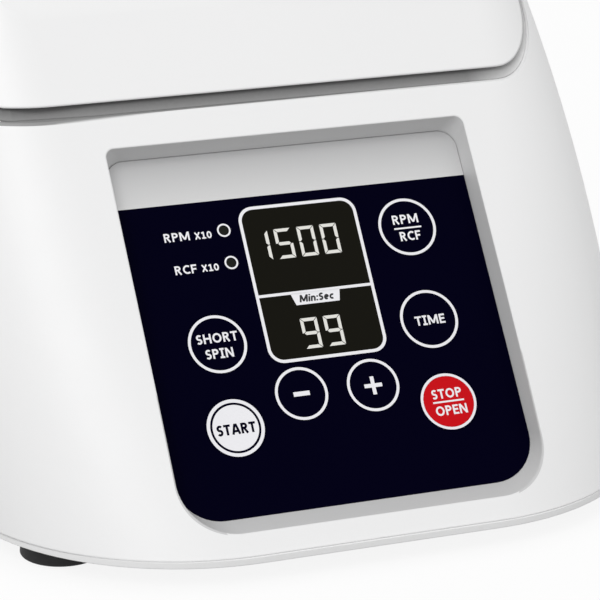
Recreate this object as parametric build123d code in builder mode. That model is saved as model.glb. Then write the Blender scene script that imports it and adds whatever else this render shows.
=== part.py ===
from build123d import *
import os
from math import cos, pi, radians, sin, tan

# Laboratory micro-centrifuge. Millimetres, +Z up, +X to the right of someone facing
# the control panel, -Y towards them. The origin is the middle of the footprint, on the bench.

# ---- driving dimensions: outer body --------------------------------------------------
body_depth = 286.0          # front edge to rear edge, at the bottom
body_height = 160.0         # bottom edge of the base plate to the crown of the lid
foot_height = 7.0
foot_radius = 13.0
base_half_width = 111.7     # half widths of the body at the bottom, middle and top
middle_half_width = 111.2
top_half_width = 95.5
base_corner = 73.4          # front corner radii at the same three heights
middle_corner = 46.0
top_corner = 18.6
rear_corner = 14.0
front_lean = 37.0           # front face, degrees back from vertical
rear_draft = 2.0            # rear face, degrees forward from vertical
wall = 3.0                  # moulded wall of the housing and the lid
crown_blend = 40.0          # radius between the leaning front and the top
shoulder_round = 14.0       # radius along the top side edges
base_plate_thickness = 2.0
base_inset = 0.6            # step from the housing in to the base plate
overrun = 5.0               # cutting shapes run on past the faces they cut by this much
seam = 0.02                 # keeps two cutting surfaces from lying exactly together

# ---- driving dimensions: lid and its pocket ------------------------------------------
deck_height = 124.4         # top deck, under the lid
lid_lift = 3.9              # open height of the gutter under the lid's rim
gutter_front = 2.8          # gap between lid and pocket, at the front and at the sides
gutter_side = 2.3
lid_half_width = 92.8
lid_corner_left = 5.0       # radii along the lid's two lower side edges
lid_corner_right = 16.0
hinge_inset = 31.0          # hinge axis, forward of the rear edge
barrel_radius = 14.0        # the lid's rolled rear edge, about the hinge axis
barrel_gap = 1.2
liner_thickness = 2.2
liner_clearance = 0.3       # all round the liner, in the lid's open floor
liner_dish_inset = 12.0     # the liner's hollow, inside the chamber's radius
rib_thickness = 1.6         # rib under the liner's front, which closes the gutter from view
rib_gap = 0.6               # between the rib and the chamber's rim
rib_length = 36.0           # the rib's two returns, along the sides
lid_floor_strip = 7.0       # strip of lid floor kept along each side at the rear
tongue_clearance = 4.0      # between the liner's tongue and the hinge brackets
seal_offset = 0.4           # seal: outside the chamber's radius, then foot, width and lip
seal_foot = 1.2
seal_width = 4.2
seal_lip = 1.2
seal_gap = 0.3
lid_boss_radius = 4.0       # posts for the liner's screws
lid_boss_hole = 12.0
lid_screw_length = 8.0
lid_screw_head = 1.2
lid_boss_front = 29.5
lid_boss_inset_front = 10.5
lid_boss_inset_rear = 4.5

# ---- driving dimensions: control panel -----------------------------------------------
panel_rise = 83.06          # slope length from the bottom edge to the panel's datum line
recess_depth = 7.5
recess_half = 60.0          # rim of the recess, on the front face
recess_top = 53.2
recess_bottom = -73.1
recess_top_corner = 2.8
recess_bottom_corner = 17.5
plate_half = 59.0           # panel plate, on the recess floor
plate_top = 51.5
plate_bottom = -66.5
plate_top_corner = 6.0
plate_bottom_corner = 14.5
plate_thickness = 1.5
plate_gap = 0.15
window_half = 19.2          # display window
window_top = 31.8
window_bottom = -19.2
window_corner = 4.5
key_travel = 0.5
key_clearance = 0.08        # radial, between a key and its hole
key_flange = 0.8            # how far a key's retaining flange stands out
key_stem_radius = 3.0
key_stem_length = 0.9
switch_body = 6.0           # tactile switches under the keys
switch_body_height = 3.5
switch_plunger_radius = 1.7
switch_play = 0.1
window_flange = 1.5         # the window's flange behind the panel plate
window_flange_thickness = 1.0
window_gap = 0.05
digit_width = 32.0          # seven-segment modules
digit_height = 19.0
digit_depth = 7.0
digit_inset = 4.5
lamp_places = [(-25.1, 25.5), (-25.0, 14.7)]
lamp_radius = 1.4
lamp_clearance = 0.1
board_gap = 6.5             # recess floor's back to the control board
board_thickness = 1.6

# name, across, up the slope, radius of the cap
keys = [
    ("key_speed_mode", 35.5, 20.1, 9.75),
    ("key_time", 35.3, -11.2, 9.75),
    ("key_stop_open", 35.1, -38.7, 9.75),
    ("key_short_spin", -35.2, -10.9, 9.75),
    ("key_start", -35.3, -38.2, 9.75),
    ("key_minus", -12.0, -30.1, 8.65),
    ("key_plus", 11.7, -30.3, 8.65),
]

# ---- driving dimensions: chamber, rotor and drive --------------------------------------
axis_inset = 78.0           # spindle, forward of the hinge axis
bowl_radius = 75.0
bowl_depth = 64.0
bowl_wall = 1.2
bowl_flange = 6.0
bowl_floor_fillet = 12.0
bowl_neck_radius = 15.0
rotor_gap = 6.0             # bowl floor to the underside of the rotor
rotor_height = 44.0
rotor_base_radius = 69.0
rotor_rim_radius = 54.0
rotor_hub_radius = 15.0
tube_count = 12
tube_radius = 5.6
tube_depth = 30.0
tube_run_in = 14.0          # the tube bores are cut from this far outside their mouths
tube_pitch_radius = 38.0    # where the tube axes cross the rotor's inner cone
tube_lean = 45.0
hub_floor = 20.0            # rotor: inner floor and hub top, over its underside
hub_top = 30.0
hub_taper = 2.0
rotor_rim_width = 4.0
rotor_skirt_rise = 2.0      # underside of the outer skirt
rotor_edge_height = 12.0    # top of the rotor's widest band
rotor_relief_height = 9.0   # hollow under the rotor, between hub and skirt
rotor_relief_inside = 23.0
rotor_relief_outside = 40.0
rotor_relief_slope = 6.0
relief_taper = 5.0
rotor_edge_chamfer = 3.0
knob_height = 12.0
knob_inset = 4.0            # the knob is this much smaller than the hub
knob_flute_radius = 1.8
knob_flutes = 12
knob_collar = 3.0           # plain band under the flutes
knob_gap = 0.1
shaft_reach = 9.0           # the shaft stands this far out of the hub
shaft_radius = 4.0
running_clearance = 0.05
motor_radius = 31.0
motor_gap = 6.0             # under the motor
motor_headroom = 4.9        # between the motor's bracket and the chamber
bracket_thickness = 2.5
bracket_half = 42.0
mount_spacing = 34.0        # half the distance between the motor's rubber mounts
mount_height = 8.0
mount_radius = 7.0
mount_groove = 1.5
mount_waist = 6.0
post_radius = 5.5
motor_fillet = 2.0
motor_seam_width = 1.2
motor_seam_depth = 0.8
bracket_corner = 8.0

# ---- driving dimensions: fastenings, openings and fittings ----------------------------
deck_clearance = 1.8        # between the chamber and the hole in the deck
window_frame_inset = 12.0   # opening in the recess floor, inside the panel plate
window_frame_inset_v = 7.0
bowl_neck_height = 5.0
shoulder_drop = 6.5         # the housing's shoulders end this far below the crown
rear_wall_drop = 3.0        # the rear wall ends this far below the hinge axis
base_boss_radius = 4.5
screw_radius = 1.5
screw_clearance = 0.3
screw_head_radius = 2.8
screw_head_height = 1.6
boss_inset = 6.5            # base screws, in from the body's sides and rear
boss_height = 16.0
boss_rows = (0.36, 0.71)    # side pairs, as shares of the body's depth
boss_rear_spread = 0.57     # rear pair, as a share of the side pairs' spacing
boss_hole = 12.0            # depth of a boss's hole, and how far its screw goes in
boss_grip = 10.0
front_boss_inset = 31.0     # the front pair stands further back, under the panel
front_boss_height = 24.0
foot_inset_x = 24.8
foot_inset_front = 47.2
foot_inset_rear = 35.0
board_inset = 6.0           # control board, inside the panel plate
board_inset_top = 10.5
board_boss_radius = 3.0
board_boss_inset = 2.5
base_vent_pitch = 7.0
base_vent_count = 7
base_vent_length = 40.0
base_vent_width = 3.0
foot_hollow = 5.0
foot_draft = 0.8
striker_inset = 22.8        # strikers, in from the lid's sides and back from the deck's front
striker_setback = 16.5
striker_thickness = 2.0
striker_width = 9.0
striker_drop = 16.0         # below the top of the deck
striker_slot_width = 6.0
striker_slot_length = 19.0
striker_slot_corner = 2.0
striker_flange = 9.0
striker_flange_margin = 1.0
striker_flange_thickness = 1.6
bolt_radius = 2.5
bolt_travel = 6.0
bolt_drop = 10.0            # bolt axis below the top of the deck
bolt_length = 18.0
bolt_gap = 2.5              # drawn-back bolt to the striker's blade
bolt_window = 1.0           # the striker's window is this much wider than the bolt
latch_reach = 8.0           # latch plate, outside the striker
latch_half = 11.0
latch_plate = 2.0
guide_length = 6.0          # block that guides the bolt
guide_setback = 4.5
guide_half = 5.5
guide_wall = 5.0
solenoid_length = 9.0
solenoid_setback = 7.5
bracket_spread = 62.0       # hinge brackets, from the middle
ear_gap = 16.0              # between a bracket's two ears
ear_thickness = 2.0
ear_head = 6.0
ear_clearance = 0.2
bracket_foot = 10.0
bracket_foot_thickness = 1.8
bracket_web = 1.5           # rear face of the bracket's web, forward of the axis
bracket_shoulder = 12.0
pin_overhang = 0.8
pin_radius = 2.5
arm_width = 10.0
arm_reach = 30.0            # hinge arms, forward of the axis
arm_end = 4.0
arm_elbow = 14.0
arm_crook = 3.0
inlet_x = -62.0             # mains inlet and power switch, from the middle
inlet_rise = 33.0           # up the rear wall from its bottom edge
inlet_width = 27.4
inlet_height = 20.0
inlet_depth = 22.0
inlet_wall = 1.8
inlet_back = 4.0
inlet_notch = 4.0           # the socket's two cut corners
pin_width = 2.0             # the three contact blades
pin_height = 4.0
pin_pitch = 7.0
pin_offset = 2.0
pin_tail = 5.0
switch_x = -18.0
switch_width = 13.0
switch_height = 19.0
switch_depth = 17.0
switch_wall = 1.0
switch_back = 4.0
rocker_pivot = -5.0         # the rocker's axis, from the rear face
rocker_crest = 4.6          # rocker's profile, from its axis: ends, middle and underside
rocker_dip = 3.4
rocker_belly = -3.5
rocker_end_gap = 1.6
rocker_side_gap = 1.3
bezel_margin = 1.8
bezel_thickness = 0.8
fitting_clearance = 0.2
rocker_tilt = 14.0
supply_x = 8.0              # power board: middle, width, stand-off
supply_width = 88.0
supply_standoff = 4.0
supply_post = 2.5
transformer_share = 0.6     # block beside the capacitors, as a share of the board's depth
sink_spine = 3.0            # heat sink: spine, fins
sink_fin = 1.4
sink_fins = 8
sink_margin = 3.0
capacitor_radius = 6.0
capacitor_height = 20.0
vent_x = 50.0
vent_rise = 42.0
vent_pitch = 6.5
vent_count = 11
vent_length = 42.0
vent_width = 2.6

# ---- places worked out from the driving dimensions ----------------------------------
lean = radians(front_lean)
front_y = -body_depth / 2
rear_y = body_depth / 2
crown_z = foot_height + body_height
housing_z = foot_height + base_plate_thickness
lid_z = deck_height + lid_lift
hinge_y = rear_y - hinge_inset
hinge_z = crown_z - barrel_radius
axis_y = hinge_y - axis_inset
deck_under = deck_height - wall
lid_front_y = front_y + (lid_z - foot_height) * tan(lean)
pocket_front_y = front_y + (deck_height - foot_height) * tan(lean)
panel_plane = Plane(
    origin=(
        0,
        front_y + panel_rise * sin(lean) + recess_depth * cos(lean),
        foot_height + panel_rise * cos(lean) - recess_depth * sin(lean),
    ),
    x_dir=(1, 0, 0),
    z_dir=(0, -cos(lean), sin(lean)),
)
floor_back = -plate_thickness - wall          # back of the recess floor, from the plate's face
board_face = floor_back - board_gap
bowl_rim_z = deck_height + bowl_wall
bowl_floor_z = bowl_rim_z - bowl_depth
rotor_mouth_radius = rotor_rim_radius - rotor_rim_width
rotor_z = bowl_floor_z + rotor_gap
hub_top_z = rotor_z + hub_top
motor_z = housing_z + motor_gap
bracket_z = bowl_floor_z - bowl_wall - motor_headroom - bracket_thickness
motor_height = bracket_z - motor_z
striker_x = lid_half_width - striker_inset
bolt_z = deck_height - bolt_drop
bolt_high = striker_x - striker_thickness / 2 - bolt_gap
bolt_low = bolt_high - bolt_length
guide_x = bolt_high - guide_setback
coil_x = bolt_high - solenoid_setback
striker_y = pocket_front_y + striker_setback
window_frame_half = plate_half - window_frame_inset
window_frame_height = plate_top - plate_bottom - 2 * window_frame_inset_v
board_half = plate_half - board_inset
board_top = plate_top - board_inset_top
board_bottom = plate_bottom + board_inset_top
board_boss_places = [
    (side * (board_half - board_boss_inset), up)
    for side in (-1, 1)
    for up in (board_top - board_boss_inset, board_bottom + board_boss_inset)
]
foot_places = [
    ("foot_front_left", foot_inset_x - base_half_width, front_y + foot_inset_front),
    ("foot_front_right", base_half_width - foot_inset_x, front_y + foot_inset_front),
    ("foot_rear_left", foot_inset_x - base_half_width, rear_y - foot_inset_rear),
    ("foot_rear_right", base_half_width - foot_inset_x, rear_y - foot_inset_rear),
]
pocket_rear_y = hinge_y + barrel_radius + barrel_gap
rear_plane = Plane(
    origin=(0, rear_y, foot_height),
    x_dir=(-1, 0, 0),
    z_dir=(0, cos(radians(rear_draft)), sin(radians(rear_draft))),
)

os.makedirs("parts", exist_ok=True)


def finish(part, name):
    """Label a finished piece and write it to its own file."""
    part.label = name
    export_step(part, "parts/" + name + ".step")


def blend(low, middle, high, height):
    """Value at a height, on the smooth curve through the bottom, middle and top values."""
    t = height / body_height
    return low * (1 - t) * (1 - 2 * t) + middle * 4 * t * (1 - t) + high * t * (2 * t - 1)


def base_boss_list():
    """Across, depth and height of each boss that a base screw goes into."""
    side_x = blend(base_half_width, middle_half_width, top_half_width, boss_height / 2) - boss_inset
    bosses = []
    for side in (-1, 1):
        for share in boss_rows:
            bosses.append((side * side_x, front_y + share * body_depth, boss_height))
        bosses.append((side * boss_rear_spread * side_x, rear_y - boss_inset, boss_height))
        bosses.append((side * plate_half, front_y + front_boss_inset, front_boss_height))
    return bosses


def body_section(height, inset):
    """The body's outline at one height over its bottom edge, with every wall moved in."""
    half = blend(base_half_width, middle_half_width, top_half_width, height) - inset
    corner = blend(base_corner, middle_corner, top_corner, height) - inset
    low_y = front_y + height * tan(lean) + inset / cos(lean)
    high_y = rear_y - height * tan(radians(rear_draft)) - inset
    with BuildSketch(Plane.XY.offset(foot_height + height)) as section:
        with BuildLine():
            Polyline((-half, low_y), (half, low_y), (half, high_y), (-half, high_y), close=True)
        make_face()
        fillet(section.vertices().group_by(Axis.Y)[0], corner)
        fillet(section.vertices().group_by(Axis.Y)[-1], rear_corner - inset)
    return section.sketch


def body_form(inset):
    """The whole outer form, body and lid together, moved in by a wall."""
    top = crown_z - inset
    front_edge = front_y + inset / cos(lean) - seam
    # the sides lean in by this much per millimetre of height where the shoulders start
    start = body_height - shoulder_round
    slope = (
        blend(base_half_width, middle_half_width, top_half_width, start)
        - blend(base_half_width, middle_half_width, top_half_width, start + 1)
    )
    shoulder_x = (
        blend(base_half_width, middle_half_width, top_half_width, start) - inset + seam
    )
    with BuildPart() as form:
        for height in (0, body_height / 2, body_height):
            add(body_section(height, inset))
        loft()
        # the leaning front rolls over into the top
        with BuildSketch(Plane.YZ) as crown:
            with BuildLine():
                Polyline(
                    (front_edge - foot_height * tan(lean), 0),
                    (front_edge + (top - foot_height) * tan(lean), top),
                    (rear_y + overrun, top),
                    (rear_y + overrun, 0),
                    close=True,
                )
            make_face()
            fillet(crown.vertices().group_by(Axis.Y)[-1].sort_by(Axis.X)[0], crown_blend - inset)
        extrude(amount=base_half_width + overrun, both=True, mode=Mode.INTERSECT)
        # the top rolls over into the sides
        with BuildSketch(Plane.XZ) as arch:
            low_x = shoulder_x + slope * (foot_height + start)
            high_x = shoulder_x - slope * (shoulder_round - inset)
            with BuildLine():
                Polyline((-low_x, 0), (low_x, 0), (high_x, top + seam), (-high_x, top + seam), close=True)
            make_face()
            fillet(arch.vertices().group_by(Axis.Y)[-1], shoulder_round - inset)
        extrude(amount=body_depth, both=True, mode=Mode.INTERSECT)
    return form.part


def side_block(half, low, margin, rear):
    """A long block with rounded lower edges: the shape between the body's shoulders."""
    top = crown_z + overrun
    front = front_y - overrun
    with BuildPart() as block:
        with BuildSketch(Plane.XZ.offset(-front)) as across:
            with BuildLine():
                Polyline((-half, low), (half, low), (half, top), (-half, top), close=True)
            make_face()
            corners = across.vertices().group_by(Axis.Y)[0].sort_by(Axis.X)
            fillet(corners[0], lid_corner_left + margin)
            corners = across.vertices().group_by(Axis.Y)[0].sort_by(Axis.X)
            fillet(corners[-1], lid_corner_right + margin)
        extrude(amount=front - rear)
    return block.part


def panel_outline(half, top, bottom, top_radius, bottom_radius, height):
    """Rounded outline on the control panel's slope, at a height over the plate's face."""
    with BuildSketch(panel_plane.offset(height)) as outline:
        with BuildLine():
            Polyline((-half, bottom), (half, bottom), (half, top), (-half, top), close=True)
        make_face()
        fillet(outline.vertices().group_by(Axis.Y)[0], bottom_radius)
        fillet(outline.vertices().group_by(Axis.Y)[-1], top_radius)
    return outline.sketch


def recess_outline(height):
    """The panel recess at a height over its floor: its walls flare outwards."""
    t = height / recess_depth
    return panel_outline(
        plate_half + plate_gap + t * (recess_half - plate_half - plate_gap),
        plate_top + plate_gap + t * (recess_top - plate_top - plate_gap),
        plate_bottom - plate_gap + t * (recess_bottom - plate_bottom + plate_gap),
        plate_top_corner + t * (recess_top_corner - plate_top_corner),
        plate_bottom_corner + t * (recess_bottom_corner - plate_bottom_corner),
        height,
    )


def cylinder_along_x(radius, low_x, high_x, y, z):
    """A plain round bar across the body, for pins and their clearances."""
    with BuildPart() as bar:
        with BuildSketch(Plane.YZ.offset(low_x)):
            with Locations((y, z)):
                Circle(radius)
        extrude(amount=high_x - low_x)
    return bar.part


def box_between(low, high):
    """A plain block between two opposite corners."""
    size = [abs(b - a) for a, b in zip(low, high)]
    middle = [(a + b) / 2 for a, b in zip(low, high)]
    return Pos(*middle) * Box(*size, mode=Mode.PRIVATE)


# ---- housing ---------------------------------------------------------------------------
outer_form = body_form(0)
inner_form = body_form(wall)
skin_form = body_form(wall / 3)
pocket_half = lid_half_width + gutter_side
pocket = side_block(pocket_half, deck_height, gutter_side, pocket_rear_y)
pocket_shell = side_block(pocket_half + wall, deck_under, gutter_side + wall, pocket_rear_y + wall)
ledge_z = hinge_z - rear_wall_drop            # top of the rear wall
with BuildPart() as recess:
    for height in (0, recess_depth + overrun):
        add(recess_outline(height))
    loft()
with BuildPart() as plate_seat:
    seat_outline = panel_outline(
        plate_half + plate_gap,
        plate_top + plate_gap,
        plate_bottom - plate_gap,
        plate_top_corner + plate_gap,
        plate_bottom_corner + plate_gap,
        -plate_thickness,
    )
    extrude(seat_outline, amount=plate_thickness + seam, dir=panel_plane.z_dir)
with BuildPart() as recess_shell:
    with BuildSketch(panel_plane.offset(floor_back)):
        with Locations((0, (recess_top + recess_bottom) / 2)):
            RectangleRounded(
                2 * (recess_half + wall), recess_top - recess_bottom + 2 * wall, plate_bottom_corner
            )
    extrude(amount=recess_depth - floor_back)

# room inside the shell: below the deck, behind the recess
with BuildPart() as cavity:
    add(inner_form)
    add(pocket_shell, mode=Mode.SUBTRACT)
    add(recess_shell.part, mode=Mode.SUBTRACT)
    add(
        box_between(
            (-body_depth, hinge_y, ledge_z - wall), (body_depth, body_depth, crown_z + overrun)
        ),
        mode=Mode.SUBTRACT,
    )

# posts inside the shell for the base screws, and behind the recess for the control board
base_bosses = base_boss_list()
with BuildPart() as base_posts:
    for x, y, height in base_bosses:
        with BuildSketch(Plane.XY.offset(housing_z)):
            with Locations((x, y)):
                Circle(base_boss_radius)
        extrude(amount=height)
    add(skin_form, mode=Mode.INTERSECT)
with BuildPart() as board_posts:
    with BuildSketch(panel_plane.offset(board_face)):
        with Locations(*board_boss_places):
            Circle(board_boss_radius)
    extrude(amount=board_gap + wall / 2)

with BuildPart() as housing:
    add(outer_form)
    add(cavity.part, mode=Mode.SUBTRACT)
    add(base_posts.part)
    add(board_posts.part)
    add(pocket, mode=Mode.SUBTRACT)
    add(recess.part, mode=Mode.SUBTRACT)
    add(plate_seat.part, mode=Mode.SUBTRACT)
    # trimmed below, above the shoulders and above the rear wall
    span = 2 * base_half_width
    add(box_between((-span, -span, 0), (span, span, housing_z)), mode=Mode.SUBTRACT)
    add(
        box_between((-span, -span, crown_z - shoulder_drop), (span, span, crown_z + overrun)),
        mode=Mode.SUBTRACT,
    )
    add(
        box_between(
            (-pocket_half, hinge_y, ledge_z), (pocket_half, rear_y + overrun, crown_z + overrun)
        ),
        mode=Mode.SUBTRACT,
    )
    # seat for the chamber's flange, chamber opening, slots for the lid's strikers
    with BuildSketch(Plane.XY.offset(deck_height)):
        with Locations((0, axis_y)):
            Circle(bowl_radius + bowl_flange + bowl_wall)
    extrude(amount=lid_lift, mode=Mode.SUBTRACT)
    with BuildSketch(Plane.XY.offset(deck_under - 1)):
        with Locations((0, axis_y)):
            Circle(bowl_radius + bowl_wall + deck_clearance)
        with Locations((-striker_x, striker_y), (striker_x, striker_y)):
            RectangleRounded(striker_slot_width, striker_slot_length, striker_slot_corner)
    extrude(amount=wall + 2, mode=Mode.SUBTRACT)
    # window in the recess floor for the keys, lamps and display
    with BuildSketch(panel_plane.offset(floor_back - 1)):
        with Locations((0, (plate_top + plate_bottom) / 2)):
            RectangleRounded(2 * window_frame_half, window_frame_height, plate_top_corner)
    extrude(amount=wall + plate_thickness, mode=Mode.SUBTRACT)
    # rear wall: mains inlet, power switch and cooling slots
    with BuildSketch(rear_plane.offset(-wall - overrun)):
        with Locations((-inlet_x, inlet_rise)):
            Rectangle(inlet_width + 2 * fitting_clearance, inlet_height + 2 * fitting_clearance)
        with Locations((-switch_x, inlet_rise)):
            Rectangle(switch_width + 2 * fitting_clearance, switch_height + 2 * fitting_clearance)
        with Locations((-vent_x, vent_rise)):
            with GridLocations(vent_pitch, 0, vent_count, 1):
                SlotOverall(vent_length, vent_width, rotation=90)
    extrude(amount=wall + 2 * overrun, mode=Mode.SUBTRACT)
    # blind holes for the base screws
    with BuildSketch(Plane.XY.offset(housing_z)):
        for x, y, height in base_bosses:
            with Locations((x, y)):
                Circle(screw_radius)
    extrude(amount=boss_hole, mode=Mode.SUBTRACT)
finish(housing.part, "upper_housing")

with BuildPart() as base_plate:
    add(body_section(0, base_inset))
    extrude(amount=base_plate_thickness)
    with BuildSketch(Plane.XY.offset(foot_height)):
        for x, y, height in base_bosses:
            with Locations((x, y)):
                Circle(screw_radius + screw_clearance)
        with Locations((0, axis_y)):
            with GridLocations(base_vent_pitch, 0, base_vent_count, 1):
                SlotOverall(base_vent_length, base_vent_width, rotation=90)
    extrude(amount=base_plate_thickness, mode=Mode.SUBTRACT)
finish(base_plate.part, "base_plate")

with BuildPart() as base_screws:
    with BuildSketch(Plane.XY.offset(foot_height - screw_head_height)):
        for x, y, height in base_bosses:
            with Locations((x, y)):
                Circle(screw_head_radius)
    extrude(amount=screw_head_height)
    with BuildSketch(Plane.XY.offset(foot_height)):
        for x, y, height in base_bosses:
            with Locations((x, y)):
                Circle(screw_radius)
    extrude(amount=base_plate_thickness + boss_grip)
finish(base_screws.part, "base_screws")

for name, x, y in foot_places:
    with BuildPart() as foot:
        with BuildSketch(Plane.XZ):
            with BuildLine():
                Polyline(
                    (0, foot_height / 3),
                    (foot_hollow - foot_draft, foot_height / 3),
                    (foot_hollow, 0),
                    (foot_radius, 0),
                    (foot_radius - foot_draft, foot_height),
                    (0, foot_height),
                    close=True,
                )
            make_face()
        revolve(axis=Axis.Z)
        low_edges = foot.edges().filter_by(GeomType.CIRCLE).group_by(Axis.Z)[0]
        fillet(low_edges.sort_by(SortBy.RADIUS)[-1], foot_draft)
    finish(Pos(x, y, 0) * foot.part, name)

# ---- chamber ---------------------------------------------------------------------------
with BuildPart() as bowl:
    with BuildSketch(Plane.XZ.offset(-axis_y)):
        with BuildLine():
            floor_line = bowl_floor_z - bowl_wall / 2
            wall_line = bowl_radius + bowl_wall / 2
            rim_line = bowl_rim_z - bowl_wall / 2
            FilletPolyline(
                (bowl_neck_radius, floor_line + bowl_neck_height),
                (bowl_neck_radius, floor_line),
                (wall_line, floor_line),
                (wall_line, rim_line),
                (bowl_radius + bowl_flange, rim_line),
                radius=[2.5, bowl_floor_fillet, 2.0],
            )
            offset(amount=bowl_wall / 2, side=Side.BOTH, closed=True, kind=Kind.INTERSECTION)
        make_face()
    revolve(axis=Axis((0, axis_y, 0), (0, 0, 1)))
finish(bowl.part, "rotor_chamber")

# ---- lid -------------------------------------------------------------------------------
lid_cut_y = hinge_y - barrel_radius - 1     # rear edge of the lid's floor, between its sides
lid_side_keep = lid_half_width - lid_floor_strip    # the rear of the floor is open inside this


def lid_form(form, inset):
    """The lid's outer shape, or with a wall's inset the room inside it."""
    barrel = barrel_radius - inset
    low = lid_z + inset
    with BuildPart() as shape:
        add(form)
        add(side_block(lid_half_width - inset, low, -inset, rear_y), mode=Mode.INTERSECT)
        # seen from the side: flat below, a barrel about the hinge axis at the rear
        with BuildSketch(Plane.YZ):
            with BuildLine():
                tail = (hinge_y + barrel * cos(radians(60)), hinge_z - barrel * sin(radians(60)))
                back = ThreePointArc(tail, (hinge_y + barrel, hinge_z), (hinge_y, hinge_z + barrel))
                Polyline(
                    (hinge_y, hinge_z + barrel),
                    (hinge_y, crown_z + overrun),
                    (front_y - overrun, crown_z + overrun),
                    (front_y - overrun, low),
                    (hinge_y - 8, low),
                    tail,
                )
            make_face()
        extrude(amount=base_half_width, both=True, mode=Mode.INTERSECT)
    return shape.part


liner_half = lid_half_width - lid_corner_right - liner_clearance
liner_front = lid_front_y + wall / cos(lean) + liner_clearance
liner_end = lid_cut_y - liner_clearance
liner_rear = axis_y + bowl_radius + bowl_flange
tongue_half = bracket_spread - ear_gap / 2 - ear_thickness - tongue_clearance
rib_low = bowl_rim_z + rib_gap
lid_boss_front_y = lid_front_y + lid_boss_front
lid_boss_rear_y = hinge_y - arm_reach - lid_boss_radius / 2
lid_boss_places = [
    (lid_boss_inset_front - liner_half, lid_boss_front_y),
    (liner_half - lid_boss_inset_front, lid_boss_front_y),
    (lid_boss_inset_rear - liner_half, lid_boss_rear_y),
    (liner_half - lid_boss_inset_rear, lid_boss_rear_y),
]

with BuildPart() as lid_posts:
    with BuildSketch(Plane.XY.offset(lid_z + liner_thickness)):
        with Locations(*lid_boss_places):
            Circle(lid_boss_radius)
    extrude(amount=crown_z - lid_z)
    add(skin_form, mode=Mode.INTERSECT)
with BuildPart() as lid:
    add(lid_form(outer_form, 0))
    add(lid_form(inner_form, wall), mode=Mode.SUBTRACT)
    # the floor is open for the liner, and for the hinge brackets at the rear
    add(
        box_between(
            (-liner_half - liner_clearance, liner_front - liner_clearance, lid_z - 1),
            (liner_half + liner_clearance, lid_cut_y + 1, lid_z + wall + 1),
        ),
        mode=Mode.SUBTRACT,
    )
    add(
        box_between(
            (-lid_side_keep, lid_cut_y, lid_z - 1),
            (lid_side_keep, rear_y, hinge_z - barrel_radius * sin(radians(15))),
        ),
        mode=Mode.SUBTRACT,
    )
    add(lid_posts.part)
    with BuildSketch(Plane.XY.offset(lid_z + liner_thickness)):
        with Locations(*lid_boss_places):
            Circle(screw_radius)
    extrude(amount=lid_boss_hole, mode=Mode.SUBTRACT)
finish(lid.part, "lid_shell")

with BuildPart() as liner:
    with BuildSketch(Plane.XY.offset(lid_z)):
        with Locations((0, (liner_front + liner_end) / 2)):
            RectangleRounded(2 * liner_half, liner_end - liner_front, rib_thickness)
        # a tongue between the hinge brackets covers the rear of the chamber
        with Locations((0, (lid_cut_y + liner_rear) / 2 - overrun)):
            RectangleRounded(2 * tongue_half, liner_rear - lid_cut_y + 2 * overrun, tongue_clearance)
        with Locations(*lid_boss_places):
            Circle(screw_radius + screw_clearance, mode=Mode.SUBTRACT)
    extrude(amount=liner_thickness)
    # stiffening dish above the rotor
    with BuildSketch(Plane.XY.offset(lid_z)):
        with Locations((0, axis_y)):
            Circle(bowl_radius - liner_dish_inset)
    extrude(amount=liner_thickness / 2, mode=Mode.SUBTRACT)
    # rib along the front, with a short return down each side
    with BuildSketch(Plane.XY.offset(rib_low)):
        with Locations((0, liner_front + rib_length / 2)):
            RectangleRounded(2 * liner_half, rib_length, rib_thickness)
        with Locations((0, liner_front + rib_length / 2 + rib_thickness)):
            Rectangle(2 * (liner_half - rib_thickness), rib_length, mode=Mode.SUBTRACT)
    extrude(amount=lid_z + liner_thickness / 2 - rib_low)
finish(liner.part, "lid_liner")

with BuildPart() as lid_screws:
    with BuildSketch(Plane.XY.offset(lid_z - lid_screw_head)):
        with Locations(*lid_boss_places):
            Circle(screw_head_radius)
    extrude(amount=lid_screw_head)
    with BuildSketch(Plane.XY.offset(lid_z)):
        with Locations(*lid_boss_places):
            Circle(screw_radius)
    extrude(amount=liner_thickness + lid_screw_length)
finish(lid_screws.part, "lid_screws")

seal_inside = bowl_radius + seal_offset
with BuildPart() as seal:
    with BuildSketch(Plane.XZ.offset(-axis_y)):
        with BuildLine():
            lip_z = bowl_rim_z + seal_gap
            Polyline(
                (seal_inside, lid_z),
                (seal_inside, lid_z - seal_foot),
                (seal_inside + seal_lip, lip_z),
                (seal_inside + 2 * seal_lip, lip_z),
                (seal_inside + seal_width, lid_z - seal_foot),
                (seal_inside + seal_width, lid_z),
                close=True,
            )
        make_face()
    revolve(axis=Axis((0, axis_y, 0), (0, 0, 1)))
finish(seal.part, "lid_seal")

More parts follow.
